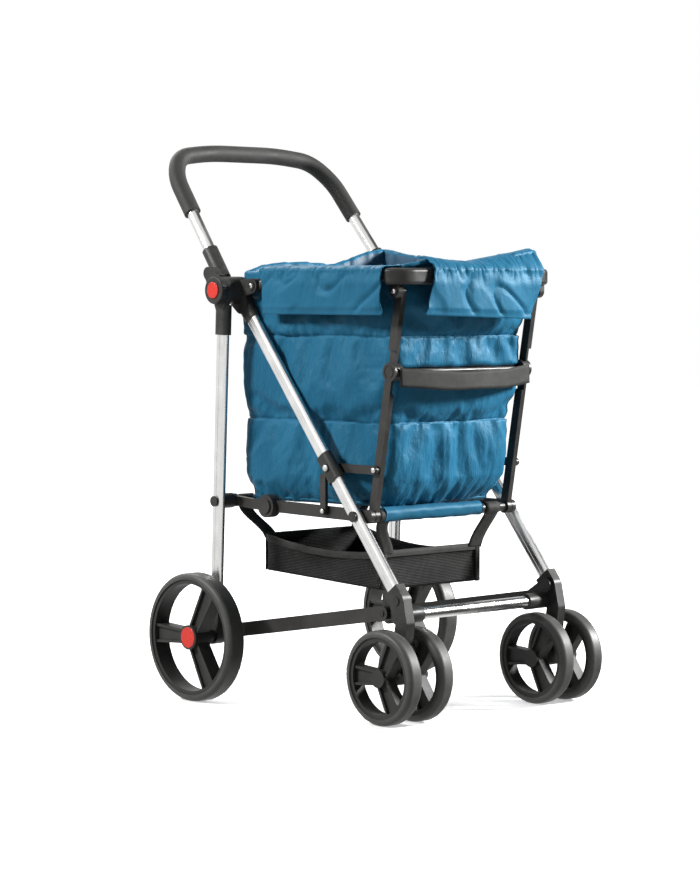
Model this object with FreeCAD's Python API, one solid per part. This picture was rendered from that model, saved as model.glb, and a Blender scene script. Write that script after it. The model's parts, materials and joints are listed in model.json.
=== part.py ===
import FreeCAD, Part
import math
import os

# Four-wheel folding shopping trolley, millimetres, +Z up, front towards -Y.
# Right-hand pieces lie at negative X, left-hand pieces are their mirror images.

V = FreeCAD.Vector

# Wheels and wheelbase
wheelbase = 422.6
rear_wheel_radius = 110.0
rear_wheel_width = 35.8
rear_wheel_outer_x = 273.9
front_wheel_radius = 77.6
front_wheel_width = 29.2
twin_spacing = 71.3
tyre_depth = 11.0
tyre_corner = 8.0
rim_wall = 7.0
rim_inset = 2.4
spoke_count = 3
spoke_root_width = 24.0
spoke_tip_width = 33.0
spoke_recess = 5.0
spoke_rib = 4.5
rear_hub_radius = 21.0
front_hub_radius = 15.0
rear_axle_radius = 5.0
front_axle_radius = 5.0
running_fit = 0.05
wheel_side_gap = 0.6
cap_radius = 17.8
cap_height = 3.2
cap_recess = 2.2
hub_cover = 3.0
snap_collar_radius = 6.2
snap_collar_inset = 3.0
snap_collar_length = 2.0

# Main frame in side view, measured from the middle of the wheelbase
hub_y = 187.0
hub_z = 702.5
front_tube_x = 180.0
rear_tube_x = 211.0
tube_width = 25.0
tube_thickness = 14.0
tube_wall = 1.6
groove_width = 3.0
groove_depth = 0.7
fork_rivet_y = -212.0
fork_rivet_z = 200.0
front_tube_start = 6.0
front_tube_hub_gap = 53.6
leg_tube_start = 40.0
leg_tube_axle_gap = 45.0

# Hub stack, from the outside inwards
hub_disc_radius = 23.5
handle_disc_outer_x = 235.5
handle_disc_thickness = 12.7
stack_gap = 0.4
leg_disc_thickness = 12.4
bracket_disc_inner_x = 190.0
spindle_radius = 8.0
spindle_head_radius = 12.5
spindle_head_height = 2.5
button_radius = 14.0
button_clearance = 0.3
button_pocket = 9.0
button_proud = 2.2
button_height = 7.0
button_dome = 1.2

# Sleeves and the bracket that carries the front tube and the top frame
sleeve_wall = 3.0
leg_sleeve_top = 25.0
leg_sleeve_end = 76.0
bracket_socket_start = 30.0
bracket_socket_end = 62.0
bracket_neck = 17.0
ear_y = 140.5
ear_z = 710.0
ear_radius = 12.5
ear_thickness = 6.0
ear_pin_radius = 4.0
ear_pin_head_radius = 7.5
pin_head_height = 1.8

# Handle: its two legs run on in the line of the front tubes and close in to the top
handle_x = 201.0
handle_tube_radius = 10.4
grip_radius = 14.8
handle_sleeve_start = 25.0
handle_sleeve_end = 88.0
handle_sleeve_radius = 14.0
handle_leg_reach = 252.0
handle_leg_x = 187.0
handle_shoulder_reach = 300.0
handle_shoulder_x = 156.0
handle_top_reach = 312.0
handle_bend_share = 0.45
grip_start = 171.0
handle_neck_reach = 27.0
handle_neck_radius = 11.0
handle_neck_rise = 10.0
handle_neck_depth = 6.0

# Middle rail, knee and cross tubes
leg_bolt_y = 204.0
leg_bolt_z = 341.0
knee_y = 116.0
knee_z = 335.5
tube_bolt_y = -110.0
tube_bolt_z = 331.0
post_foot_y = -126.0
post_foot_z = 331.0
rear_link_outer_x = 181.0
rear_link_thickness = 8.5
mid_bar_outer_x = 171.5
mid_bar_thickness = 8.5
rear_link_height = 17.0
mid_bar_height = 20.0
knee_radius = 19.5
knee_cap_radius = 13.0
knee_cap_height = 3.0
link_eye_radius = 11.5
cross_tube_radius = 8.0
cross_sleeve_radius = 11.0
cross_sleeve_half = 114.0
bolt_radius = 5.0
bolt_cap_radius = 9.0
bolt_cap_height = 4.0
washer_radius = 8.0
boss_radius = 13.0

# Runner on the front tube with its links
runner_reach = 100.0
runner_length = 50.0
runner_wall = 3.0
runner_clearance = 0.3
runner_rivet_radius = 7.0
lug_offset = 27.0
lug_radius = 7.0
lug_thickness = 5.0
short_link_y = -26.0
short_link_z = 335.0
short_link_outer_x = 178.8
short_link_thickness = 6.2
short_link_width = 13.0
post_link_outer_x = 169.2
post_link_thickness = 6.0
post_link_width = 14.0
link_pin_radius = 3.5
link_boss_gap = 0.4

# Posts that hold the bag's front corners
post_outer_x = 161.5
post_thickness = 9.5
post_width = 16.0
post_rivet_reach = 78.0
post_knee_y = -167.0
post_knee_z = 569.0
post_top_y = -190.0
post_top_z = 701.0
post_disc_radius = 15.5
post_ring_radius = 11.0
post_ring_depth = 1.0
half_lap_reach = 36.0
half_lap_gap = 0.4
post_top_radius = 8.0
knee_bar_radius = 5.5
knee_clamp_thickness = 8.5

# Front strap
strap_height = 32.0
strap_thickness = 2.0
strap_drop = 8.0
strap_bow = 18.0

# Top frame and its corner covers
top_rail_x = 177.0
top_tube_radius = 8.5
top_rail_front_y = -205.0
top_rail_front_z = 725.0
top_corner_radius = 28.0
cover_height = 27.0
cover_width = 22.0
cover_rear_y = -182.6
cover_inner_x = 109.5
cover_corner = 6.0
top_eye_thickness = 11.5

# Forks, crossbar and lower rails
fork_thickness = 18.0
fork_socket_reach = 22.0
fork_socket_radius = 17.0
fork_leg_radius = 13.5
fork_foot_radius = 15.0
fork_foot_half = 20.4
fork_knee_y = -224.0
fork_knee_z = 163.0
fork_shin_y = -216.0
fork_shin_z = 112.0
crossbar_y = -203.0
crossbar_z = 174.0
crossbar_radius = 10.0
crossbar_socket_radius = 13.5
crossbar_socket_inner_x = 126.0
rail_pivot_y = -176.0
rail_pivot_z = 177.0
rail_height = 24.0
rail_thickness = 12.0
rail_end_y = 209.0
rail_end_z = 114.0
rail_front_radius = 12.0
rail_end_radius = 14.0
rail_lug_thickness = 9.0
rail_lug_gap = 0.4

# Rear feet
foot_height = 46.0
foot_radius = 16.0
foot_boss_radius = 11.5
foot_stub_radius = 8.0
foot_stub_inner_x = 189.4

# Bag and basket
bag_bottom_z = 344.0
bag_top_z = 750.0
bag_wall = 3.0
bag_front_halves = (122.0, 134.0, 144.0, 148.0)
bag_rear_halves = (155.0, 163.0, 167.0, 167.0)
bag_front_ys = (-108.0, -132.0, -160.0, -186.0)
bag_rear_ys = (172.0, 178.0, 183.0, 187.0)
bag_level_shares = (0.0, 0.12, 0.55, 1.0)
bag_front_corner = 24.0
bag_rear_corner = 14.0
flap_thickness = 3.0
flap_clearance = 0.3
side_flap_front_y = -181.0
side_flap_rear_y = 116.0
side_flap_low_rear_y = 88.0
side_flap_drop = 77.0
front_flap_half = 109.0
front_flap_drop = 79.0
basket_half_width = 117.4
basket_front_y = -103.0
basket_rear_y = 188.0
basket_floor_z = 206.0
basket_front_z = 268.0
basket_rear_z = 280.0
basket_wall = 2.0
basket_corner = 14.0
hanger_width = 26.0
hanger_x = 138.0
hanger_foot_x = 97.0
hanger_lap = 8.0
hanger_gap = 0.4

# Derived places
rear_axle_y = wheelbase / 2
front_axle_y = -wheelbase / 2
tube_run = math.hypot(hub_y - fork_rivet_y, hub_z - fork_rivet_z)
tube_dir = V(0, (hub_y - fork_rivet_y) / tube_run, (hub_z - fork_rivet_z) / tube_run)
tube_normal = V(0, tube_dir.z, -tube_dir.y)
front_tube_end = tube_run - front_tube_hub_gap
leg_tube_end = math.hypot(hub_y - wheelbase / 2, hub_z - rear_wheel_radius) - leg_tube_axle_gap
handle_leg_slope = (handle_x - handle_leg_x) / handle_leg_reach
grip_top_y = hub_y + tube_dir.y * handle_top_reach
rear_limit_y = max(grip_top_y + grip_radius, rear_axle_y + rear_wheel_radius)
front_limit_y = front_axle_y - front_wheel_radius
origin_y = (rear_limit_y + front_limit_y) / 2
handle_disc_inner_x = handle_disc_outer_x - handle_disc_thickness
leg_disc_outer_x = handle_disc_inner_x - stack_gap
leg_disc_inner_x = leg_disc_outer_x - leg_disc_thickness
bracket_disc_outer_x = leg_disc_inner_x - stack_gap
front_tube_outer_x = front_tube_x + tube_thickness / 2
front_tube_inner_x = front_tube_x - tube_thickness / 2
rear_tube_outer_x = rear_tube_x + tube_thickness / 2
rear_tube_inner_x = rear_tube_x - tube_thickness / 2
post_inner_x = post_outer_x - post_thickness
mid_bar_inner_x = mid_bar_outer_x - mid_bar_thickness
rear_wheel_inner_x = rear_wheel_outer_x - rear_wheel_width
overrun = 1.0


def side(y, z):
    return V(0, y, z)


HUB = side(hub_y, hub_z)
REAR_AXLE = side(rear_axle_y, rear_wheel_radius)
FRONT_AXLE = side(front_axle_y, front_wheel_radius)
FORK_RIVET = side(fork_rivet_y, fork_rivet_z)
LEG_BOLT = side(leg_bolt_y, leg_bolt_z)
KNEE = side(knee_y, knee_z)
TUBE_BOLT = side(tube_bolt_y, tube_bolt_z)
POST_FOOT = side(post_foot_y, post_foot_z)
POST_KNEE = side(post_knee_y, post_knee_z)
POST_TOP = side(post_top_y, post_top_z)
EAR = side(ear_y, ear_z)
RAIL_PIVOT = side(rail_pivot_y, rail_pivot_z)
RAIL_END = side(rail_end_y, rail_end_z)
SHORT_LINK_FOOT = side(short_link_y, short_link_z)
CROSSBAR = side(crossbar_y, crossbar_z)
leg_dir = (REAR_AXLE - HUB).normalize()
post_dir = (POST_KNEE - POST_FOOT).normalize()
tube_bolt_along = (TUBE_BOLT - FORK_RIVET).dot(tube_dir)
RUNNER = FORK_RIVET + tube_dir * (tube_bolt_along + runner_reach)
RUNNER_LUG = RUNNER + tube_normal * lug_offset
POST_RIVET = POST_FOOT + post_dir * post_rivet_reach


# General shapes

def disc(centre, radius, outer_x, inner_x):
    """Cylinder along X on the right-hand side, between two distances from the middle."""
    return Part.makeCylinder(radius, outer_x - inner_x, V(-outer_x, centre.y, centre.z), V(1, 0, 0))


def prism(points, outer_x, inner_x):
    """Side-view outline extruded along X on the right-hand side."""
    corners = [V(-outer_x, p.y, p.z) for p in points]
    face = Part.Face(Part.makePolygon(corners + corners[:1]))
    return face.extrude(V(outer_x - inner_x, 0, 0))


def box(low, high):
    """Box between two corners."""
    return Part.makeBox(high.x - low.x, high.y - low.y, high.z - low.z, low)


def fused(shapes):
    """One solid from several that touch or overlap."""
    whole = shapes[0]
    if len(shapes) > 1:
        whole = whole.fuse(shapes[1:]).removeSplitter()
    return whole


def limb(start, end, start_radius, end_radius, outer_x, inner_x):
    """Flat limb whose two round ends are joined by tangent edges."""
    along = end - start
    run = along.Length
    along = along * (1 / run)
    across = V(0, -along.z, along.y)
    lean = (start_radius - end_radius) / run
    cosine = math.sqrt(1 - lean * lean)
    up = along * lean + across * cosine
    down = along * lean - across * cosine
    corners = [start + up * start_radius, end + up * end_radius]
    corners += [end + down * end_radius, start + down * start_radius]
    rounds = [disc(start, start_radius, outer_x, inner_x), disc(end, end_radius, outer_x, inner_x)]
    return fused([prism(corners, outer_x, inner_x)] + rounds)


def path_limb(points, radii, outer_x, inner_x):
    """Curved limb as a chain of flat limbs."""
    spans = zip(points, points[1:], radii, radii[1:])
    return fused([limb(p, q, r, s, outer_x, inner_x) for p, q, r, s in spans])


def oval_bar(start, direction, from_reach, to_reach, width, thickness, centre_x):
    """Flat-sided oval bar in a side-view plane."""
    across = V(0, -direction.z, direction.y)
    base = start + direction * from_reach + V(-centre_x, 0, 0)
    half = width / 2 - thickness / 2
    out = V(thickness / 2, 0, 0)
    a = base + across * half
    b = base - across * half
    edges = [
        Part.LineSegment(a + out, b + out).toShape(),
        Part.Arc(b + out, b - across * (thickness / 2), b - out).toShape(),
        Part.LineSegment(b - out, a - out).toShape(),
        Part.Arc(a - out, a + across * (thickness / 2), a + out).toShape(),
    ]
    return Part.Face(Part.Wire(edges)).extrude(direction * (to_reach - from_reach))


def frame_tube(start, direction, from_reach, to_reach, centre_x):
    """Hollow oval frame tube with a groove down each flat side."""
    tube = oval_bar(start, direction, from_reach, to_reach, tube_width, tube_thickness, centre_x)
    inner_width = tube_width - 2 * tube_wall
    inner_thickness = tube_thickness - 2 * tube_wall
    bore = oval_bar(start, direction, from_reach - overrun, to_reach + overrun,
                    inner_width, inner_thickness, centre_x)
    across = V(0, -direction.z, direction.y)
    foot = start + direction * (from_reach - overrun) - across * (groove_width / 2)
    head = start + direction * (to_reach + overrun) - across * (groove_width / 2)
    strip = [foot, head, head + across * groove_width, foot + across * groove_width]
    half = tube_thickness / 2
    outer = prism(strip, centre_x + half + overrun, centre_x + half - groove_depth)
    inner = prism(strip, centre_x - half + groove_depth, centre_x - half - overrun)
    return tube.cut([bore, outer, inner])


def mirrored(shape):
    return shape.mirror(V(0, 0, 0), V(1, 0, 0))


def save(name, shape):
    moved = shape.copy()
    moved.translate(V(0, -origin_y, 0))
    moved.exportStep("parts/" + name + ".step")


def save_pair(name, shape):
    save(name + "_right", shape)
    save(name + "_left", mirrored(shape))


def save_group(name, shapes):
    save(name, Part.makeCompound(shapes))


# Wheels, built on the Y axis of a wheel lying at the origin with its axle along X

def revolve_x(points):
    """Solid of revolution about X from (x, radius) points."""
    corners = [V(x, 0, r) for x, r in points]
    face = Part.Face(Part.makePolygon(corners + corners[:1]))
    return face.revolve(V(0, 0, 0), V(1, 0, 0), 360)


def tyre(radius, width):
    """Tyre with a rounded tread and flat sides."""
    inner = radius - tyre_depth
    half = width / 2
    flat = half - tyre_corner
    shoulder = radius - tyre_corner
    slant = tyre_corner * math.sin(math.radians(45))
    edges = [
        Part.LineSegment(V(-half, 0, inner), V(-half, 0, shoulder)).toShape(),
        Part.Arc(V(-half, 0, shoulder), V(-flat - slant, 0, shoulder + slant), V(-flat, 0, radius)).toShape(),
        Part.LineSegment(V(-flat, 0, radius), V(flat, 0, radius)).toShape(),
        Part.Arc(V(flat, 0, radius), V(flat + slant, 0, shoulder + slant), V(half, 0, shoulder)).toShape(),
        Part.LineSegment(V(half, 0, shoulder), V(half, 0, inner)).toShape(),
        Part.LineSegment(V(half, 0, inner), V(-half, 0, inner)).toShape(),
    ]
    return Part.Face(Part.Wire(edges)).revolve(V(0, 0, 0), V(1, 0, 0), 360)


def spoke(inner_radius, outer_radius, root_half, depth_half, turn):
    """One wide spoke with a recessed channel in each face."""
    tip_half = spoke_tip_width / 2
    outline = [V(-depth_half, -root_half, inner_radius), V(-depth_half, root_half, inner_radius)]
    outline += [V(-depth_half, tip_half, outer_radius), V(-depth_half, -tip_half, outer_radius)]
    solid = Part.Face(Part.makePolygon(outline + outline[:1])).extrude(V(2 * depth_half, 0, 0))
    root_in = root_half - spoke_rib
    tip_in = tip_half - spoke_rib
    channel = [V(0, -root_in, inner_radius), V(0, root_in, inner_radius)]
    channel += [V(0, tip_in, outer_radius - spoke_rib), V(0, -tip_in, outer_radius - spoke_rib)]
    cutter = Part.Face(Part.makePolygon(channel + channel[:1])).extrude(V(depth_half, 0, 0))
    outer_cut = cutter.copy()
    outer_cut.translate(V(-depth_half - (depth_half - spoke_recess), 0, 0))
    inner_cut = cutter.copy()
    inner_cut.translate(V(depth_half - spoke_recess, 0, 0))
    solid = solid.cut([outer_cut, inner_cut])
    solid.rotate(V(0, 0, 0), V(1, 0, 0), turn)
    return solid


def axial(radius, from_x, to_x):
    """Cylinder on the X axis."""
    return Part.makeCylinder(radius, to_x - from_x, V(from_x, 0, 0), V(1, 0, 0))


def rim(radius, width, hub_radius, first_turn):
    """Wheel centre with three wide spokes between hub and rim."""
    outer = radius - tyre_depth
    half = width / 2
    rim_half = half - rim_inset
    ring = revolve_x([(-rim_half, outer - rim_wall), (-rim_half, outer), (rim_half, outer),
                      (rim_half, outer - rim_wall)])
    hub = axial(hub_radius, -half, half)
    root_half = min(spoke_root_width / 2, hub_radius - spoke_rib / 2)
    step = 360 / spoke_count
    start = math.sqrt(hub_radius ** 2 - root_half ** 2) - spoke_rib / 2
    spokes = [spoke(start, outer - rim_wall / 2, root_half, rim_half - rim_inset, first_turn + step * i)
              for i in range(spoke_count)]
    return fused([ring, hub] + spokes)


def at_axle(shape, centre_x, axle):
    moved = shape.copy()
    moved.translate(V(centre_x, axle.y, axle.z))
    return moved


def make_rear_wheels():
    centre_x = rear_wheel_outer_x - rear_wheel_width / 2
    half = rear_wheel_width / 2
    bore = axial(rear_axle_radius + running_fit, -half - overrun, half + overrun)
    recess = axial(cap_radius, -half - overrun, -half + cap_recess)
    body = rim(rear_wheel_radius, rear_wheel_width, rear_hub_radius, 270).cut([bore, recess])
    ring = tyre(rear_wheel_radius, rear_wheel_width)
    save_pair("rear_rim", at_axle(body, -centre_x, REAR_AXLE))
    save_pair("rear_tyre", at_axle(ring, -centre_x, REAR_AXLE))
    cap_inner = rear_wheel_outer_x - cap_recess
    cap = disc(REAR_AXLE, cap_radius, cap_inner + cap_height, cap_inner)
    rounded = cap.makeFillet(cap_height / 3, [outer_rim_edge(cap, -cap_inner - cap_height)])
    save_pair("rear_cap", rounded)
    axle_end = cap_inner - running_fit - cap_recess
    pin = disc(REAR_AXLE, rear_axle_radius, axle_end, rear_tube_inner_x)
    save_group("rear_axles", [pin, mirrored(pin)])


def outer_rim_edge(solid, x):
    """The round edge of a disc at one X plane."""
    for edge in solid.Edges:
        if abs(edge.BoundBox.XMax - x) < running_fit and abs(edge.BoundBox.XMin - x) < running_fit:
            return edge
    return solid.Edges[0]


def make_front_wheels():
    """Twin wheels whose closed hubs snap over a collar at each end of the axle."""
    half = front_wheel_width / 2
    floor_x = hub_cover - half
    bore = axial(front_axle_radius + running_fit, floor_x, half + overrun)
    groove_x = floor_x + snap_collar_inset - running_fit
    groove = axial(snap_collar_radius + running_fit, groove_x, groove_x + snap_collar_length + 2 * running_fit)
    outward = rim(front_wheel_radius, front_wheel_width, front_hub_radius, 270).cut([bore, groove])
    ring = tyre(front_wheel_radius, front_wheel_width)
    outer_x = -front_tube_x - twin_spacing / 2
    inner_x = -front_tube_x + twin_spacing / 2
    save_pair("front_rim_outer", at_axle(outward, outer_x, FRONT_AXLE))
    save_pair("front_tyre_outer", at_axle(ring, outer_x, FRONT_AXLE))
    inward = mirrored(outward)
    save_pair("front_rim_inner", at_axle(inward, inner_x, FRONT_AXLE))
    save_pair("front_tyre_inner", at_axle(ring, inner_x, FRONT_AXLE))
    floor_reach = twin_spacing / 2 + front_wheel_width / 2 - hub_cover
    reach = floor_reach - running_fit
    shaft = disc(FRONT_AXLE, front_axle_radius, front_tube_x + reach, front_tube_x - reach)
    far = floor_reach - snap_collar_inset
    near = far - snap_collar_length
    outer_collar = disc(FRONT_AXLE, snap_collar_radius, front_tube_x + far, front_tube_x + near)
    inner_collar = disc(FRONT_AXLE, snap_collar_radius, front_tube_x - near, front_tube_x - far)
    axle = fused([shaft, outer_collar, inner_collar])
    save_group("front_axles", [axle, mirrored(axle)])


# Front frame

def front_tube_hull():
    """Outside of the front tube without its grooves, for the sockets that hold it."""
    return oval_bar(FORK_RIVET, tube_dir, front_tube_start - overrun, front_tube_end + overrun,
                    tube_width, tube_thickness, front_tube_x)


def make_front_tubes():
    tube = frame_tube(FORK_RIVET, tube_dir, front_tube_start, front_tube_end, front_tube_x)
    hole = disc(TUBE_BOLT, bolt_radius, front_tube_outer_x + overrun, front_tube_inner_x - overrun)
    save_pair("front_tube", tube.cut(hole))


def fork():
    """Moulded fork: socket, curved leg, foot boss, crossbar socket and rail lug."""
    outer_x = front_tube_x + fork_thickness / 2
    inner_x = front_tube_x - fork_thickness / 2
    socket_top = FORK_RIVET + tube_dir * fork_socket_reach
    knee_point = side(fork_knee_y, fork_knee_z)
    shin = side(fork_shin_y, fork_shin_z)
    points = [socket_top, FORK_RIVET, knee_point, shin, FRONT_AXLE]
    radii = [fork_socket_radius, fork_socket_radius, fork_leg_radius, fork_leg_radius, fork_foot_radius]
    leg = path_limb(points, radii, outer_x, inner_x)
    foot = disc(FRONT_AXLE, fork_foot_radius, front_tube_x + fork_foot_half, front_tube_x - fork_foot_half)
    bar_socket = disc(CROSSBAR, crossbar_socket_radius, front_tube_x, crossbar_socket_inner_x)
    lug_outer = front_tube_x - rail_thickness / 2 - rail_lug_gap
    lug = limb(FORK_RIVET, RAIL_PIVOT, rail_front_radius, rail_front_radius,
               lug_outer, lug_outer - rail_lug_thickness)
    pin = disc(RAIL_PIVOT, bolt_radius, front_tube_x + rail_thickness / 2 + pin_head_height, lug_outer)
    trim_edge = FORK_RIVET + tube_dir * fork_socket_reach
    far = trim_edge + tube_dir * fork_socket_radius * 2
    wide = tube_normal * fork_socket_radius * 2
    trim = prism([trim_edge - wide, trim_edge + wide, far + wide, far - wide],
                 outer_x + overrun, inner_x - overrun)
    whole = fused([leg, foot, bar_socket, lug, pin])
    axle_bore = disc(FRONT_AXLE, front_axle_radius, outer_x + fork_foot_half, inner_x - fork_foot_half)
    bar_bore = disc(CROSSBAR, crossbar_radius, front_tube_x - fork_thickness / 2, crossbar_socket_inner_x - overrun)
    return whole.cut([trim, front_tube_hull(), axle_bore, bar_bore])


def make_forks():
    save_pair("fork", fork())
    end_x = front_tube_x - fork_thickness / 2
    bar = Part.makeCylinder(crossbar_radius, 2 * end_x, V(-end_x, crossbar_y, crossbar_z), V(1, 0, 0))
    inner = crossbar_radius - tube_wall
    bore = Part.makeCylinder(inner, 2 * end_x, V(-end_x, crossbar_y, crossbar_z), V(1, 0, 0))
    save("front_crossbar", bar.cut(bore))


def make_front_fasteners():
    """Fork rivets and the bolts that carry the middle bars."""
    fork_outer = front_tube_x + fork_thickness / 2
    rivet = disc(FORK_RIVET, ear_pin_head_radius, fork_outer + pin_head_height, fork_outer)
    head = disc(TUBE_BOLT, bolt_cap_radius, front_tube_outer_x + bolt_cap_height, front_tube_outer_x)
    shank = disc(TUBE_BOLT, bolt_radius, front_tube_outer_x, mid_bar_inner_x)
    washer = disc(TUBE_BOLT, washer_radius, front_tube_inner_x, mid_bar_outer_x + stack_gap)
    bolt = fused([head, shank, washer])
    save_group("front_fasteners", [rivet, mirrored(rivet), bolt, mirrored(bolt)])


def make_hub_brackets():
    """Body behind each hub, with the front tube's socket and the top frame's ear."""
    hub_disc = disc(HUB, hub_disc_radius, bracket_disc_outer_x, bracket_disc_inner_x)
    foot = HUB - tube_dir * bracket_socket_end
    socket_outer = front_tube_outer_x + sleeve_wall
    socket_inner = front_tube_inner_x - sleeve_wall
    head = HUB - tube_dir * bracket_socket_start
    socket = oval_bar(foot, tube_dir, 0, bracket_socket_end - bracket_socket_start,
                      tube_width + 2 * sleeve_wall, socket_outer - socket_inner, front_tube_x)
    neck = limb(HUB, head, hub_disc_radius, bracket_neck, socket_outer, front_tube_inner_x)
    ear = limb(HUB, EAR, bracket_neck, ear_radius, socket_outer, socket_outer - ear_thickness)
    pin_end = top_rail_x - top_eye_thickness / 2
    pin = disc(EAR, ear_pin_radius, socket_outer - ear_thickness, pin_end)
    head_pin = disc(EAR, ear_pin_head_radius, socket_outer + pin_head_height, socket_outer)
    bore = disc(HUB, spindle_radius, bracket_disc_outer_x + overrun, front_tube_inner_x - overrun)
    whole = fused([hub_disc, socket, neck, ear, pin, head_pin])
    save_pair("hub_bracket", whole.cut([front_tube_hull(), bore]))
    spindle = disc(HUB, spindle_radius, handle_disc_outer_x - button_pocket, front_tube_inner_x)
    head_outer = handle_disc_outer_x - button_pocket + spindle_head_height
    cap = disc(HUB, spindle_head_radius, head_outer, head_outer - spindle_head_height)
    whole_spindle = fused([spindle, cap])
    save_group("hub_spindles", [whole_spindle, mirrored(whole_spindle)])


# Rear frame

def make_rear_frame():
    tube = frame_tube(HUB, leg_dir, leg_tube_start, leg_tube_end, rear_tube_x)
    hole = disc(LEG_BOLT, bolt_radius, rear_tube_outer_x + overrun, rear_tube_inner_x - overrun)
    save_pair("rear_tube", tube.cut(hole))
    hull = oval_bar(HUB, leg_dir, leg_tube_start, leg_tube_end, tube_width, tube_thickness, rear_tube_x)
    hub_disc = disc(HUB, hub_disc_radius, leg_disc_outer_x, leg_disc_inner_x)
    sleeve_thickness = tube_thickness + 2 * sleeve_wall
    sleeve = oval_bar(HUB, leg_dir, leg_sleeve_top, leg_sleeve_end,
                      tube_width + 2 * sleeve_wall, sleeve_thickness, rear_tube_x)
    bridge = limb(HUB, HUB + leg_dir * leg_sleeve_top, hub_disc_radius - overrun, tube_width / 2,
                  rear_tube_x + sleeve_thickness / 2, leg_disc_inner_x)
    bore = disc(HUB, spindle_radius + running_fit, leg_disc_outer_x + overrun, leg_disc_inner_x - overrun)
    save_pair("leg_hub", fused([hub_disc, sleeve, bridge]).cut([hull, bore]))
    make_feet(hull)
    make_rear_cross_tube()


def make_feet(hull):
    """Moulded foot at the bottom of each rear tube, with bosses for axle and rail."""
    outer_x = rear_tube_outer_x + sleeve_wall
    inner_x = rear_tube_inner_x - sleeve_wall
    top = REAR_AXLE - leg_dir * foot_height
    body = limb(REAR_AXLE, top, foot_radius, foot_radius, outer_x, inner_x)
    wheel_boss = disc(REAR_AXLE, foot_boss_radius, rear_wheel_inner_x - wheel_side_gap, outer_x)
    stub = disc(RAIL_END, foot_stub_radius, inner_x, foot_stub_inner_x)
    far = top - leg_dir * foot_radius
    wide = V(0, foot_radius + overrun, 0)
    trim = prism([top - wide, top + wide, far - leg_dir * foot_radius + wide, far - leg_dir * foot_radius - wide],
                 outer_x + overrun, inner_x - overrun)
    bore = disc(REAR_AXLE, rear_axle_radius, rear_wheel_outer_x, rear_tube_inner_x)
    save_pair("rear_foot", fused([body, wheel_boss, stub]).cut([trim, hull, bore]))


def make_rear_cross_tube():
    """Cross tube at the leg bolts, with round bosses that carry the rear links."""
    half = rear_tube_inner_x
    tube = Part.makeCylinder(cross_tube_radius, 2 * half, V(-half, leg_bolt_y, leg_bolt_z), V(1, 0, 0))
    boss = disc(LEG_BOLT, boss_radius, rear_tube_inner_x, rear_link_outer_x + stack_gap)
    bore = Part.makeCylinder(cross_tube_radius - tube_wall, 2 * half, V(-half, leg_bolt_y, leg_bolt_z), V(1, 0, 0))
    save("rear_cross_tube", fused([tube, boss, mirrored(boss)]).cut(bore))
    head = disc(LEG_BOLT, bolt_cap_radius, rear_tube_outer_x + bolt_cap_height, rear_tube_outer_x)
    shank = disc(LEG_BOLT, bolt_radius, rear_tube_outer_x, rear_tube_inner_x)
    bolt = fused([head, shank])
    save_group("rear_bolts", [bolt, mirrored(bolt)])


# Middle rail

def make_middle_rail():
    link_inner = rear_link_outer_x - rear_link_thickness
    link = limb(LEG_BOLT, KNEE, rear_link_height / 2, rear_link_height / 2, rear_link_outer_x, link_inner)
    eye = disc(LEG_BOLT, link_eye_radius, rear_link_outer_x, link_inner)
    knee = disc(KNEE, knee_radius, rear_link_outer_x, link_inner)
    cap = disc(KNEE, knee_cap_radius, rear_link_outer_x + knee_cap_height, rear_link_outer_x)
    bore = disc(LEG_BOLT, cross_tube_radius + running_fit, rear_link_outer_x + overrun, link_inner - overrun)
    save_pair("rear_link", fused([link, eye, knee, cap]).cut(bore))
    bar = limb(KNEE, POST_FOOT, mid_bar_height / 2, mid_bar_height / 2, mid_bar_outer_x, mid_bar_inner_x)
    knee_eye = disc(KNEE, knee_radius, mid_bar_outer_x, mid_bar_inner_x)
    foot_eye = disc(POST_FOOT, link_eye_radius, mid_bar_outer_x, mid_bar_inner_x)
    bolt_bore = disc(TUBE_BOLT, bolt_radius + running_fit, mid_bar_outer_x + overrun, mid_bar_inner_x - overrun)
    tube_bore = disc(POST_FOOT, cross_tube_radius, mid_bar_outer_x - bolt_cap_height / 2, mid_bar_inner_x - overrun)
    save_pair("mid_bar", fused([bar, knee_eye, foot_eye]).cut([bolt_bore, tube_bore]))
    half = mid_bar_outer_x - bolt_cap_height / 2
    origin = V(-half, post_foot_y, post_foot_z)
    tube = Part.makeCylinder(cross_tube_radius, 2 * half, origin, V(1, 0, 0))
    tube_bore = Part.makeCylinder(cross_tube_radius - tube_wall, 2 * half, origin, V(1, 0, 0))
    save("front_cross_tube", tube.cut(tube_bore))
    start = V(-cross_sleeve_half, post_foot_y, post_foot_z)
    sleeve = Part.makeCylinder(cross_sleeve_radius, 2 * cross_sleeve_half, start, V(1, 0, 0))
    bore = Part.makeCylinder(cross_tube_radius, 2 * cross_sleeve_half, start, V(1, 0, 0))
    save("cross_tube_sleeve", sleeve.cut(bore))


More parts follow.
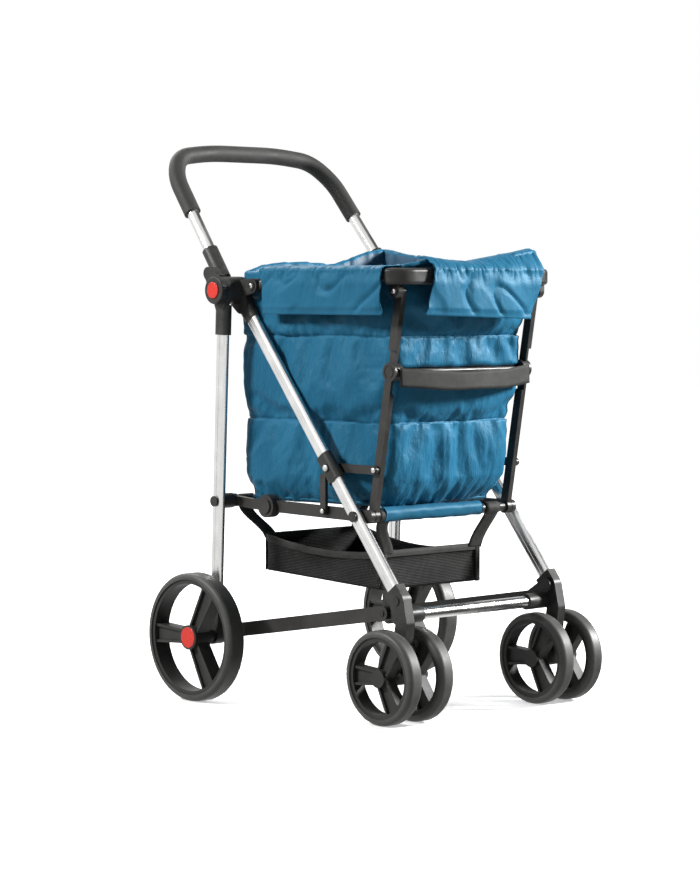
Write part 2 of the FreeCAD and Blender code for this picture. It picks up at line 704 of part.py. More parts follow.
def make_runners():
    """Sleeves that slide on the front tubes, with an outer rivet, a link pin and a rear lug."""
    half = runner_length / 2
    base = RUNNER - tube_dir * half
    thickness = tube_thickness + 2 * (runner_wall + runner_clearance)
    width = tube_width + 2 * (runner_wall + runner_clearance)
    body = oval_bar(base, tube_dir, 0, runner_length, width, thickness, front_tube_x)
    bore_width = tube_width + 2 * runner_clearance
    bore_thickness = tube_thickness + 2 * runner_clearance
    bore = oval_bar(base, tube_dir, -overrun, runner_length + overrun, bore_width, bore_thickness, front_tube_x)
    outer_x = front_tube_x + thickness / 2
    inner_x = front_tube_x - thickness / 2
    rivet = disc(RUNNER, runner_rivet_radius, outer_x + pin_head_height, outer_x - overrun)
    pin_end = post_link_outer_x - post_link_thickness
    pin = disc(RUNNER, link_pin_radius, inner_x + overrun, pin_end)
    lug_outer = short_link_outer_x - short_link_thickness - link_boss_gap
    lug_root = RUNNER + tube_normal * (tube_width / 2 + runner_wall)
    lug = limb(lug_root, RUNNER_LUG, lug_radius, lug_radius, lug_outer, lug_outer - lug_thickness)
    lug_pin = disc(RUNNER_LUG, link_pin_radius, short_link_outer_x, lug_outer)
    whole = fused([body, lug]).cut(bore)
    save_pair("runner", fused([whole, rivet, pin, lug_pin]))


def make_links():
    """Flat links from each runner to the post and to the middle bar."""
    inner = post_link_outer_x - post_link_thickness
    half = post_link_width / 2
    link = limb(RUNNER, POST_RIVET, half, half, post_link_outer_x, inner)
    boss = disc(POST_RIVET, half - overrun, inner, post_outer_x + link_boss_gap)
    head = disc(POST_RIVET, half - overrun, post_link_outer_x + pin_head_height, post_link_outer_x)
    bore = disc(RUNNER, link_pin_radius + running_fit, post_link_outer_x + overrun, inner - overrun)
    post_link = fused([link, boss, head]).cut(bore)
    save_group("post_links", [post_link, mirrored(post_link)])
    inner = short_link_outer_x - short_link_thickness
    half = short_link_width / 2
    link = limb(RUNNER_LUG, SHORT_LINK_FOOT, half, half, short_link_outer_x, inner)
    boss = disc(SHORT_LINK_FOOT, half - overrun, inner, mid_bar_outer_x + link_boss_gap)
    head = disc(SHORT_LINK_FOOT, half - overrun, short_link_outer_x + pin_head_height, short_link_outer_x)
    bore = disc(RUNNER_LUG, link_pin_radius + running_fit, short_link_outer_x + overrun, inner - overrun)
    short_link = fused([link, boss, head]).cut(bore)
    save_group("short_links", [short_link, mirrored(short_link)])


# Posts and strap

def lap_cut(direction, outer_x, inner_x):
    """Space removed from a post so that the two posts lap at the knee."""
    reach = POST_KNEE + direction * half_lap_reach
    across = V(0, -direction.z, direction.y) * (post_disc_radius + overrun)
    back = POST_KNEE - direction * (post_disc_radius + overrun)
    return prism([back - across, back + across, reach + across, reach - across], outer_x, inner_x)


def make_posts():
    middle_x = post_outer_x - post_thickness / 2
    half = post_width / 2
    lower = limb(POST_FOOT, POST_KNEE, half, half, post_outer_x, post_inner_x)
    foot_eye = disc(POST_FOOT, link_eye_radius, post_outer_x, post_inner_x)
    lower_disc = disc(POST_KNEE, post_disc_radius, post_outer_x, middle_x)
    ring = disc(POST_KNEE, post_ring_radius, post_outer_x + overrun, post_outer_x - post_ring_depth)
    core = disc(POST_KNEE, post_ring_radius - overrun * 2, post_outer_x + overrun, post_outer_x - post_ring_depth)
    foot_bore = disc(POST_FOOT, cross_tube_radius + running_fit, post_outer_x + overrun, post_inner_x - overrun)
    lap = lap_cut(post_dir * -1, middle_x, post_inner_x - overrun)
    body = fused([lower, foot_eye, lower_disc]).cut([lap, foot_bore, ring.cut(core)])
    save_pair("lower_post", body)
    upper_dir = (POST_TOP - POST_KNEE).normalize()
    upper = limb(POST_TOP, POST_KNEE, post_top_radius, half, post_outer_x, post_inner_x)
    upper_disc = disc(POST_KNEE, post_disc_radius, middle_x - half_lap_gap, post_inner_x)
    lap = lap_cut(upper_dir, post_outer_x + overrun, middle_x - half_lap_gap)
    top_bore = disc(POST_TOP, ear_pin_radius + running_fit, post_outer_x + overrun, post_inner_x - overrun)
    body = fused([upper, upper_disc]).cut([lap, top_bore])
    save("upper_post_right", fused([body, knee_bar()]))
    save("upper_post_left", mirrored(body))


def knee_bar():
    """Bar on the axis of both knees, with a clamp beside each for the strap's end."""
    end_x = post_inner_x
    bar = Part.makeCylinder(knee_bar_radius, 2 * end_x, POST_KNEE + V(-end_x, 0, 0), V(1, 0, 0))
    clamp = disc(POST_KNEE, post_disc_radius, end_x, end_x - knee_clamp_thickness)
    return fused([bar, clamp, mirrored(clamp)])


def make_strap():
    """Webbing bowed forward between the two knee clamps."""
    start_y = post_knee_y - post_disc_radius
    half = post_inner_x - running_fit
    centre_z = post_knee_z - strap_drop
    outer = [V(-half, start_y - strap_thickness, 0), V(0, start_y - strap_thickness - strap_bow, 0),
             V(half, start_y - strap_thickness, 0)]
    inner = [V(half, start_y, 0), V(0, start_y - strap_bow, 0), V(-half, start_y, 0)]
    edges = [
        Part.Arc(*outer).toShape(),
        Part.LineSegment(outer[2], inner[0]).toShape(),
        Part.Arc(*inner).toShape(),
        Part.LineSegment(inner[2], outer[0]).toShape(),
    ]
    band = Part.Face(Part.Wire(edges)).extrude(V(0, 0, strap_height))
    band.translate(V(0, -running_fit, centre_z - strap_height / 2))
    save("front_strap", band)


# Top frame

def top_path(rear_y, rear_z, inner_x):
    """Wire along one rail, round the corner and across the front."""
    corner_y = top_rail_front_y + top_corner_radius
    corner_x = -top_rail_x + top_corner_radius
    corner_z = top_rail_front_z
    slant = top_corner_radius * (1 - math.sin(math.radians(45)))
    start = V(-top_rail_x, rear_y, rear_z)
    bend_in = V(-top_rail_x, corner_y, corner_z)
    bend_mid = V(-top_rail_x + slant, top_rail_front_y + slant, corner_z)
    bend_out = V(corner_x, top_rail_front_y, corner_z)
    end = V(-inner_x, top_rail_front_y, corner_z)
    edges = [Part.LineSegment(start, bend_in).toShape(), Part.Arc(bend_in, bend_mid, bend_out).toShape()]
    edges.append(Part.LineSegment(bend_out, end).toShape())
    return Part.Wire(edges), bend_in - start


def swept(section_face, wire):
    """Solid swept along a wire with round corners."""
    return wire.makePipeShell([section_face.OuterWire], True, False)


def make_top_frame():
    wire, heading = top_path(ear_y, ear_z, 0)
    circle = Part.Wire(Part.makeCircle(top_tube_radius, V(-top_rail_x, ear_y, ear_z), heading))
    half = swept(Part.Face(circle), wire)
    eye = disc(EAR, ear_radius, top_rail_x + top_eye_thickness / 2, top_rail_x - top_eye_thickness / 2)
    bore = disc(EAR, ear_pin_radius + running_fit, top_rail_x + top_eye_thickness, top_rail_x - top_eye_thickness)
    tube_bore = swept(Part.Face(Part.Wire(Part.makeCircle(top_tube_radius - tube_wall,
                                                          V(-top_rail_x, ear_y, ear_z), heading))), wire)
    right = fused([half.cut(tube_bore), eye]).cut([bore, ear_space()])
    save("top_frame", fused([right, mirrored(right)]))
    make_corner_covers()


def ear_space():
    """Room for the bracket's ear beside the rail's eye."""
    outer = top_rail_x + top_tube_radius + overrun
    return disc(EAR, ear_radius + stack_gap + overrun, outer, top_rail_x + top_eye_thickness / 2)


def make_corner_covers():
    """Moulded covers round the front corners, with a lug for each post."""
    start_y = top_rail_front_y + top_corner_radius + cover_corner
    wire = top_path(start_y, top_rail_front_z, cover_inner_x)[0]
    low_z = top_rail_front_z - cover_height / 2
    outline = box(V(-top_rail_x - cover_width / 2, start_y - cover_width, low_z),
                  V(-top_rail_x + cover_width / 2, start_y, low_z + cover_height))
    rounded = outline.makeFillet(cover_corner, [e for e in outline.Edges if runs_along_y(e, cover_width)])
    face = [f for f in rounded.Faces if abs(f.CenterOfMass.y - start_y) < overrun / 2][0]
    tail = box(V(-top_rail_x - cover_width, cover_rear_y, low_z - overrun),
               V(-top_rail_x + cover_width, start_y + overrun, low_z + cover_height + overrun))
    shell = swept(face, wire).cut(tail)
    tube_wire, tube_heading = top_path(ear_y, ear_z, 0)
    circle = Part.Wire(Part.makeCircle(top_tube_radius, V(-top_rail_x, ear_y, ear_z), tube_heading))
    tube = swept(Part.Face(circle), tube_wire)
    lug_inner = post_outer_x + link_boss_gap
    lug_outer = top_rail_x - cover_width / 2 + ear_thickness
    lug_top = side(post_top_y, top_rail_front_z)
    lug = limb(POST_TOP, lug_top, ear_radius - overrun, ear_radius - overrun, lug_outer, lug_inner)
    pin = disc(POST_TOP, ear_pin_radius, lug_inner, post_inner_x)
    head = disc(POST_TOP, ear_pin_head_radius, lug_outer + pin_head_height, lug_outer)
    cover = fused([shell, lug, pin, head]).cut(tube)
    save_group("top_corners", [cover, mirrored(cover)])


def runs_along_y(edge, length):
    """Whether a straight edge runs along Y over the given length."""
    extent = edge.BoundBox
    return abs(extent.YLength - length) < running_fit and extent.XLength < running_fit


# Lower rails

def make_lower_rails():
    outer_x = front_tube_x + rail_thickness / 2
    inner_x = front_tube_x - rail_thickness / 2
    half = rail_height / 2
    bar = limb(RAIL_PIVOT, RAIL_END, rail_front_radius, half, outer_x, inner_x)
    end_outer = foot_stub_inner_x - link_boss_gap
    end = disc(RAIL_END, rail_end_radius, end_outer, inner_x)
    bore = disc(RAIL_PIVOT, bolt_radius + running_fit, outer_x + overrun, inner_x - overrun)
    run = RAIL_END - RAIL_PIVOT
    along = run.normalize() * rail_end_radius
    hollow = limb(RAIL_PIVOT + along * 2, RAIL_END - along * 2, rail_front_radius - tube_wall, half - tube_wall,
                  outer_x - tube_wall, inner_x + tube_wall)
    save_pair("lower_rail", fused([bar, end]).cut([bore, hollow]))


# Handle

def handle_point(reach, x):
    """Point on the handle's plane, at a distance from the hub along the leg."""
    return HUB + tube_dir * reach + V(x, 0, 0)


def handle_wire(start_reach):
    """One run from the right leg over the top to the left leg."""
    start_x = handle_x - handle_leg_slope * start_reach
    right = [(start_reach, -start_x), (handle_leg_reach, -handle_leg_x),
             (handle_shoulder_reach, -handle_shoulder_x), (handle_top_reach, -handle_shoulder_x / 2)]
    corners = right + [(reach, -x) for reach, x in reversed(right)]
    points = [handle_point(reach, x) for reach, x in corners]
    edges = []
    last = points[0]
    for i in range(1, len(points) - 1):
        before, here, after = points[i - 1], points[i], points[i + 1]
        back = (before - here)
        ahead = (after - here)
        trim = handle_bend_share * min(back.Length, ahead.Length)
        start = here + back.normalize() * trim
        end = here + ahead.normalize() * trim
        middle = arc_middle(here, start, end)
        if (start - last).Length > running_fit:
            edges.append(Part.LineSegment(last, start).toShape())
        edges.append(Part.Arc(start, middle, end).toShape())
        last = end
    edges.append(Part.LineSegment(last, points[-1]).toShape())
    return Part.Wire(edges), points


def arc_middle(corner, start, end):
    """Middle point of the arc tangent to two runs that meet at a corner."""
    chord_middle = (start + end) * 0.5
    half_chord = (end - start).Length / 2
    depth = (corner - chord_middle).Length
    leg = (start - corner).Length
    radius = half_chord * leg / depth
    centre_distance = leg * leg / depth
    toward = (chord_middle - corner).normalize()
    return corner + toward * (centre_distance - radius)


def pipe_on(wire, radius, points):
    heading = points[1] - points[0]
    circle = Part.Wire(Part.makeCircle(radius, points[0], heading))
    return wire.makePipeShell([circle], True, False)


def make_handle():
    wire, points = handle_wire(handle_sleeve_start + spindle_radius)
    tube = pipe_on(wire, handle_tube_radius, points)
    bore = pipe_on(wire, handle_tube_radius - tube_wall, points)
    save("handle_tube", tube.cut(bore))
    grip_wire, grip_points = handle_wire(grip_start)
    grip = pipe_on(grip_wire, grip_radius, grip_points)
    save("handle_grip", grip.cut(tube))
    make_handle_hubs(tube)
    make_buttons()


def make_handle_hubs(tube):
    """Outer hub discs, with the sleeves that hold the handle's legs."""
    hub_disc = disc(HUB, hub_disc_radius, handle_disc_outer_x, handle_disc_inner_x)
    rim_edge = outer_rim_edge(hub_disc, -handle_disc_outer_x)
    hub_disc = hub_disc.makeFillet(button_dome * 2, [rim_edge])
    step_start = HUB + tube_dir * handle_neck_reach
    step_top = step_start + tube_dir * handle_neck_rise
    neck_outer_x = handle_disc_inner_x + handle_neck_depth
    plate = limb(HUB, step_start, hub_disc_radius - overrun, handle_neck_radius,
                 neck_outer_x, handle_disc_inner_x)
    step = limb(step_start, step_top, handle_neck_radius, handle_neck_radius, neck_outer_x, handle_x)
    seat = HUB + tube_dir * (hub_disc_radius + overrun)
    wide = tube_normal * hub_disc_radius
    clear = prism([seat + wide, seat - wide, HUB - wide, HUB + wide],
                  handle_disc_inner_x, bracket_disc_inner_x - overrun)
    axis = (handle_point(handle_sleeve_end, -handle_x + handle_leg_slope * handle_sleeve_end)
            - handle_point(handle_sleeve_start, -handle_x + handle_leg_slope * handle_sleeve_start))
    base = handle_point(handle_sleeve_start, -handle_x + handle_leg_slope * handle_sleeve_start)
    sleeve = Part.makeCylinder(handle_sleeve_radius, axis.Length, base, axis)
    pocket = disc(HUB, button_radius + button_clearance, handle_disc_outer_x + overrun,
                  handle_disc_outer_x - button_pocket)
    bore = disc(HUB, spindle_radius + running_fit, handle_disc_outer_x, handle_disc_inner_x - overrun)
    body = fused([hub_disc, plate, fused([step, sleeve]).cut(clear)])
    save_pair("handle_hub", body.cut([pocket, bore, tube]))


def make_buttons():
    outer = handle_disc_outer_x + button_proud
    button = disc(HUB, button_radius, outer, outer - button_height)
    rim_edge = outer_rim_edge(button, -outer)
    save_pair("button", button.makeFillet(button_dome, [rim_edge]))


# Bag and basket

def rounded_outline(front_half, rear_half, front_y, rear_y, z, front_corner, rear_corner):
    """Closed wire of a four-sided outline with round corners, symmetric about X."""
    corners = [V(rear_half, rear_y, z), V(-rear_half, rear_y, z),
               V(-front_half, front_y, z), V(front_half, front_y, z)]
    radii = [rear_corner, rear_corner, front_corner, front_corner]
    arcs = []
    for i, here in enumerate(corners):
        corner = radii[i]
        back = (corners[i - 1] - here).normalize()
        ahead = (corners[(i + 1) % len(corners)] - here).normalize()
        start = here + back * corner
        end = here + ahead * corner
        arcs.append((start, arc_middle(here, start, end), end))
    edges = []
    for i, arc in enumerate(arcs):
        edges.append(Part.Arc(*arc).toShape())
        following = arcs[(i + 1) % len(arcs)]
        edges.append(Part.LineSegment(arc[2], following[0]).toShape())
    return Part.Wire(edges)


def bag_loft(inset):
    """Tapered bag form, drawn in on every side by an inset."""
    height = bag_top_z - bag_bottom_z
    wires = []
    levels = zip(bag_level_shares, bag_front_halves, bag_rear_halves, bag_front_ys, bag_rear_ys)
    for share, front_half, rear_half, front, rear in levels:
        z = bag_bottom_z + share * height
        wires.append(rounded_outline(front_half - inset, rear_half - inset, front + inset, rear - inset,
                                     z, bag_front_corner - inset, bag_rear_corner - inset))
    return Part.makeLoft(wires, True, True)


def make_bag():
    """Open-topped bag whose side and front flaps hang over the top frame."""
    outer = bag_loft(0)
    inner = bag_loft(bag_wall)
    inner.translate(V(0, 0, bag_wall))
    shell = outer.cut(inner)
    flap_outer = top_rail_x + top_tube_radius + flap_clearance + flap_thickness
    top_z = top_rail_front_z + cover_height / 2 + flap_clearance
    over = box(V(-flap_outer, side_flap_front_y, top_z),
               V(-bag_front_halves[2] + bag_wall, side_flap_rear_y, top_z + flap_thickness))
    low_z = top_z - side_flap_drop
    outline = [side(side_flap_front_y, low_z), side(side_flap_front_y, top_z + flap_thickness),
               side(side_flap_rear_y, top_z + flap_thickness), side(side_flap_low_rear_y, low_z)]
    hang = prism(outline, flap_outer, flap_outer - flap_thickness)
    front_y = top_rail_front_y - cover_width / 2 - flap_clearance - flap_thickness
    front_over = box(V(-front_flap_half, front_y, top_z), V(front_flap_half, bag_front_ys[2], top_z + flap_thickness))
    front_hang = box(V(-front_flap_half, front_y, top_z - front_flap_drop),
                     V(front_flap_half, front_y + flap_thickness, top_z + flap_thickness))
    pieces = [shell, over, hang, mirrored(over), mirrored(hang), front_over, front_hang]
    save("bag", fused(pieces))


def basket_form(inset):
    """Tray form that is higher at the rear than at the front."""
    front_y = basket_front_y + inset
    rear_y = basket_rear_y - inset
    height = basket_rear_z - basket_floor_z
    half = basket_half_width - inset
    corner = basket_corner - inset
    outline = rounded_outline(half, half, front_y, rear_y, basket_floor_z + inset, corner, corner)
    block = Part.Face(outline).extrude(V(0, 0, height + overrun - inset))
    return block


def make_basket():
    """Mesh tray that hangs from the two cross tubes."""
    outer = basket_form(0)
    inner = basket_form(basket_wall)
    span = basket_half_width + overrun
    top = basket_rear_z + 2 * overrun
    corners = [V(-span, basket_front_y - overrun, basket_front_z), V(-span, basket_rear_y + overrun, basket_rear_z),
               V(-span, basket_rear_y + overrun, top), V(-span, basket_front_y - overrun, top)]
    trim = Part.Face(Part.makePolygon(corners + corners[:1])).extrude(V(2 * span, 0, 0))
    tray = outer.cut([inner, trim])
    rear = hanger(LEG_BOLT, basket_rear_y, basket_rear_z)
    front = hanger(POST_FOOT, basket_front_y, basket_front_z)
    save("basket", fused([tray, rear, mirrored(rear), front, mirrored(front)]))


def hanger(tube_centre, wall_y, rim_z):
    """Loop of webbing round a cross tube, with a strip that slants in to the tray's corner."""
    loop_in = cross_tube_radius + hanger_gap
    half = hanger_width / 2
    loop = disc(tube_centre, loop_in + basket_wall, hanger_x + half, hanger_x - half)
    hole = disc(tube_centre, loop_in, hanger_x + hanger_width, hanger_x - hanger_width)
    toward = 1 if wall_y > 0 else -1
    foot = V(-hanger_foot_x, wall_y - toward * basket_wall / 2, rim_z - hanger_lap)
    head = V(-hanger_x, tube_centre.y, tube_centre.z)
    across = V(half, 0, 0)
    corners = [head - across, head + across, foot + across, foot - across]
    normal = (corners[1] - corners[0]).cross(corners[3] - corners[0]).normalize()
    face = Part.Face(Part.makePolygon(corners + corners[:1]))
    face.translate(normal * (-basket_wall / 2))
    return fused([loop, face.extrude(normal * basket_wall)]).cut(hole)


def main():
    os.makedirs("parts", exist_ok=True)
    make_rear_wheels()
    make_front_wheels()
    make_front_tubes()
    make_forks()
    make_front_fasteners()
    make_hub_brackets()
    make_rear_frame()
    make_middle_rail()
    make_runners()
    make_links()
    make_posts()
    make_strap()
    make_top_frame()
    make_lower_rails()
    make_handle()
    make_bag()
    make_basket()


main()
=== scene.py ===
import json
import math

import bpy
import numpy as np
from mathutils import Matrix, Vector


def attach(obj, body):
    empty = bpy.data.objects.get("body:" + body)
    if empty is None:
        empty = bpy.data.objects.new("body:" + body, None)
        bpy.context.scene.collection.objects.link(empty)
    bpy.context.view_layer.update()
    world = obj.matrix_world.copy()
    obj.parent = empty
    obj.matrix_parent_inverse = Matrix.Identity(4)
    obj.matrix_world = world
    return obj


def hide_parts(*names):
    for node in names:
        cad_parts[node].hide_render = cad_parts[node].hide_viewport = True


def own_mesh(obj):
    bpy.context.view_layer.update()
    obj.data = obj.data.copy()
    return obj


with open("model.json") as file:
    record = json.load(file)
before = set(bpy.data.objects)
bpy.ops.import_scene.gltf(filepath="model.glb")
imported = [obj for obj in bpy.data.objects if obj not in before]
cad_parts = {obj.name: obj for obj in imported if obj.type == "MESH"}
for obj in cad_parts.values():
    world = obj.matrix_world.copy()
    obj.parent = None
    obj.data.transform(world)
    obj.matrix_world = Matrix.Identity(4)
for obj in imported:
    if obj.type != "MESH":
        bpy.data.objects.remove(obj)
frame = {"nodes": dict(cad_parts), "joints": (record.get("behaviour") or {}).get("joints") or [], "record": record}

bpy.context.scene.view_settings.view_transform = "Standard"

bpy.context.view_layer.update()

# Lengths are metres, +Z up, front towards -Y, the right-hand side at negative X.
# The side-view drawing of the trolley has its zero at the middle of the wheelbase,
# which lies this far in front of the model's origin.
DRAWING_Y = -0.053457

nodes = frame["nodes"]


def at(x, y, z):
    """A point of the side-view drawing, in the model's frame."""
    return Vector((x, y + DRAWING_Y, z))


# Camera, lights and floor

CAMERA_SPOT = at(-3.2999, -3.4243, 0.7018)
CAMERA_AIM = at(-0.0513, 0.0, 0.4563)
IMAGE_LONG_SIDE = 869
FOCAL_PIXELS = 2776.42
SENSOR = 36.0
SHIFT_PIXELS = (-17.49, 0.58)
FAR_CLIP = 60.0

DARK_SIDE = (0.85, -0.45, 0.28)
LIGHT_UP_TO = 0.40
DARK_FROM = 0.72
SOFT_LIGHT = 0.11
SOFT_DARK = 0.055
MIRROR_LIGHT = 0.92
MIRROR_DARK = 0.03
FLOOR_HALF = 12.0
FLOOR_GLOW_NEAR = 0.42
FLOOR_GLOW_REACH = (0.5, 2.2)
FLOOR_BOUNCE = 0.22
WHITE = (1.0, 1.0, 1.0)

LIGHT_TARGET = Vector((0.0, 0.0, 0.45))
AREA_LIGHTS = [
    ("key", (3.1, -2.3, 2.0), (0.7, 0.7), 375.0),
    ("fill", (-3.1, 1.5, 2.6), (0.7, 0.7), 142.0),
    ("back", (0.8, 3.2, 2.8), (2.2, 1.4), 60.0),
]


def aim(obj, target):
    obj.rotation_euler = (target - obj.location).to_track_quat("-Z", "Y").to_euler()


def add_camera():
    data = bpy.data.cameras.new("camera")
    camera = bpy.data.objects.new("camera", data)
    bpy.context.scene.collection.objects.link(camera)
    camera.location = CAMERA_SPOT
    aim(camera, CAMERA_AIM)
    data.sensor_width = SENSOR
    data.lens = FOCAL_PIXELS * SENSOR / IMAGE_LONG_SIDE
    data.shift_x = SHIFT_PIXELS[0] / IMAGE_LONG_SIDE
    data.shift_y = SHIFT_PIXELS[1] / IMAGE_LONG_SIDE
    data.clip_end = FAR_CLIP
    bpy.context.scene.camera = camera


def add_area(name, spot, size, power):
    data = bpy.data.lights.new(name, "AREA")
    data.shape = "RECTANGLE"
    data.size = size[0]
    data.size_y = size[1]
    data.energy = power
    light = bpy.data.objects.new(name, data)
    bpy.context.scene.collection.objects.link(light)
    light.location = spot
    aim(light, LIGHT_TARGET)


def add_world():
    """White to the eye; soft light on cloth, and a bright and a dark side for metal to mirror."""
    world = bpy.data.worlds.new("studio")
    world.use_nodes = True
    tree = world.node_tree
    background = tree.nodes["Background"]
    spot = tree.nodes.new("ShaderNodeTexCoord").outputs["Generated"]
    facing = tree.nodes.new("ShaderNodeVectorMath")
    facing.operation = "DOT_PRODUCT"
    facing.inputs[1].default_value = DARK_SIDE
    tree.links.new(spot, facing.inputs[0])
    path = tree.nodes.new("ShaderNodeLightPath")

    def two_sided(light, dark):
        shade = tree.nodes.new("ShaderNodeValToRGB")
        shade.color_ramp.elements[0].position = LIGHT_UP_TO
        shade.color_ramp.elements[0].color = gray(light)
        shade.color_ramp.elements[1].position = DARK_FROM
        shade.color_ramp.elements[1].color = gray(dark)
        tree.links.new(facing.outputs["Value"], shade.inputs["Fac"])
        return shade.outputs["Color"]

    def choose(ray, otherwise, chosen):
        mixed = tree.nodes.new("ShaderNodeMix")
        mixed.data_type = "RGBA"
        tree.links.new(path.outputs[ray], mixed.inputs["Factor"])
        tree.links.new(otherwise, mixed.inputs["A"])
        mixed.inputs["B"].default_value = rgba(WHITE)
        if chosen is not None:
            tree.links.new(chosen, mixed.inputs["B"])
        return mixed.outputs["Result"]

    soft = two_sided(SOFT_LIGHT, SOFT_DARK)
    mirrored = two_sided(MIRROR_LIGHT, MIRROR_DARK)
    light = choose("Is Camera Ray", choose("Is Glossy Ray", soft, mirrored), None)
    tree.links.new(light, background.inputs["Color"])
    background.inputs["Strength"].default_value = 1.0
    bpy.context.scene.world = world


def add_lights():
    for name, spot, size, power in AREA_LIGHTS:
        add_area(name, Vector(spot), size, power)
    add_world()


# Materials

CLOTH_TINT = (0.3, 0.75, 1.0)
CLOTH_SHINE = 0.17
THREADS = (900.0, 1100.0)
THREAD_RELIEF = (0.00006, 0.5)
NET_PITCH = 0.0052


def rgba(color):
    return (color[0], color[1], color[2], 1.0)


def gray(level):
    return (level, level, level, 1.0)


def set_inputs(node, values):
    """Sets a node's inputs by name, with _ for each space."""
    for name, value in values.items():
        node.inputs[name.replace("_", " ")].default_value = value


class Shader:
    """A material under construction: the surface shader and short ways to add nodes to it."""

    def __init__(self, name, color, roughness, metallic=0.0):
        self.material = bpy.data.materials.new(name)
        self.material.use_nodes = True
        self.tree = self.material.node_tree
        self.surface = self.tree.nodes["Principled BSDF"]
        self.set(Base_Color=rgba(color), Roughness=roughness, Metallic=metallic)
        self.spot = self.node("ShaderNodeTexCoord").outputs["Object"]

    def set(self, **values):
        set_inputs(self.surface, values)

    def node(self, kind, **values):
        made = self.tree.nodes.new(kind)
        set_inputs(made, values)
        return made

    def link(self, source, target):
        self.tree.links.new(source, target)

    def stretched(self, scale):
        mapping = self.node("ShaderNodeMapping", Scale=scale)
        self.link(self.spot, mapping.inputs["Vector"])
        return mapping.outputs["Vector"]

    def noise(self, scale, detail=3.0, roughness=0.55, vector=None):
        node = self.node("ShaderNodeTexNoise", Scale=scale, Detail=detail, Roughness=roughness)
        self.link(vector or self.spot, node.inputs["Vector"])
        return node.outputs["Fac"]

    def wave(self, scale, direction):
        node = self.node("ShaderNodeTexWave", Scale=scale, Distortion=0.0)
        node.bands_direction = direction
        self.link(self.spot, node.inputs["Vector"])
        return node.outputs["Fac"]

    def pores(self, scale):
        node = self.node("ShaderNodeTexVoronoi", Scale=scale)
        self.link(self.spot, node.inputs["Vector"])
        return node.outputs["Distance"]

    def spread(self, value, low, high, from_low=0.3, from_high=0.7):
        node = self.node("ShaderNodeMapRange", From_Min=from_low, From_Max=from_high,
                         To_Min=low, To_Max=high)
        self.link(value, node.inputs["Value"])
        return node.outputs["Result"]

    def ramp(self, value, dark, light, low=0.3, high=0.7):
        node = self.node("ShaderNodeValToRGB")
        node.color_ramp.elements[0].position = low
        node.color_ramp.elements[0].color = rgba(dark)
        node.color_ramp.elements[1].position = high
        node.color_ramp.elements[1].color = rgba(light)
        self.link(value, node.inputs["Fac"])
        return node.outputs["Color"]

    def math(self, operation, first, second):
        node = self.node("ShaderNodeMath")
        node.operation = operation
        for socket, value in zip(node.inputs, (first, second)):
            if isinstance(value, (int, float)):
                socket.default_value = value
            else:
                self.link(value, socket)
        return node.outputs["Value"]

    def bump(self, height, distance, strength=1.0, under=None):
        node = self.node("ShaderNodeBump", Distance=distance, Strength=strength)
        self.link(height, node.inputs["Height"])
        if under is not None:
            self.link(under, node.inputs["Normal"])
        self.link(node.outputs["Normal"], self.surface.inputs["Normal"])
        return node.outputs["Normal"]

    def color_from(self, output):
        self.link(output, self.surface.inputs["Base Color"])

    def roughness_from(self, output):
        self.link(output, self.surface.inputs["Roughness"])

    def weave(self, warp, under):
        """Fine crossed threads on top of the softer relief under them."""
        threads = self.math("MULTIPLY", self.wave(THREADS[0], warp), self.wave(THREADS[1], "Z"))
        self.bump(threads, *THREAD_RELIEF, under)


def mottled(name, color, roughness, metallic=0.0, shine=None, cloud=None, shades=None, sheen=None,
            grain=None, relief=None):
    """Material whose colour and sheen wander over a cloud of noise, with a bumped grain or cloud."""
    s = Shader(name, color, roughness, metallic)
    if shine is not None:
        s.set(Specular_IOR_Level=shine)
    spots = s.noise(*cloud)
    s.color_from(s.ramp(spots, *shades))
    if sheen is not None:
        s.roughness_from(s.spread(spots, *sheen))
    if relief is not None:
        s.bump(s.noise(*grain) if grain else spots, *relief)
    return s


def make_tyre_rubber():
    return mottled("tyre_rubber", (0.055, 0.056, 0.05), 0.5, shine=0.4, cloud=(22.0, 4.0, 0.6),
                   shades=((0.048, 0.049, 0.045), (0.094, 0.095, 0.086)), sheen=(0.42, 0.58),
                   grain=(900.0, 2.0, 0.5), relief=(0.00012, 0.5)).material


def make_wheel_plastic():
    return mottled("wheel_plastic", (0.032, 0.032, 0.031), 0.5, shine=0.28, cloud=(30.0, 3.0, 0.6),
                   shades=((0.026, 0.026, 0.025), (0.046, 0.046, 0.043)), sheen=(0.42, 0.56),
                   grain=(1400.0, 2.0, 0.5), relief=(0.00008, 0.6)).material


def make_frame_plastic():
    return mottled("frame_plastic", (0.03, 0.03, 0.03), 0.42, shine=0.3, cloud=(45.0, 3.0, 0.6),
                   shades=((0.024, 0.024, 0.023), (0.050, 0.049, 0.047)), sheen=(0.36, 0.5),
                   grain=(1800.0, 2.0, 0.5), relief=(0.00006, 0.6)).material


def make_dark_metal():
    return mottled("dark_metal", (0.05, 0.048, 0.045), 0.38, shine=0.35, cloud=(28.0, 4.0, 0.6),
                   shades=((0.030, 0.029, 0.027), (0.048, 0.046, 0.043)), sheen=(0.32, 0.45),
                   grain=(420.0, 2.0, 0.5), relief=(0.00005, 0.5)).material


def make_silver_tube():
    s = Shader("silver_tube", (0.8, 0.8, 0.79), 0.26, 1.0)
    streaks = s.noise(260.0, 3.0, 0.6, s.stretched((1.0, 0.12, 0.1)))
    cloud = s.noise(14.0, 3.0, 0.6)
    s.color_from(s.ramp(streaks, (0.72, 0.72, 0.71), (0.86, 0.86, 0.85)))
    s.roughness_from(s.spread(cloud, 0.2, 0.34))
    s.bump(streaks, 0.00002, 0.35)
    return s.material


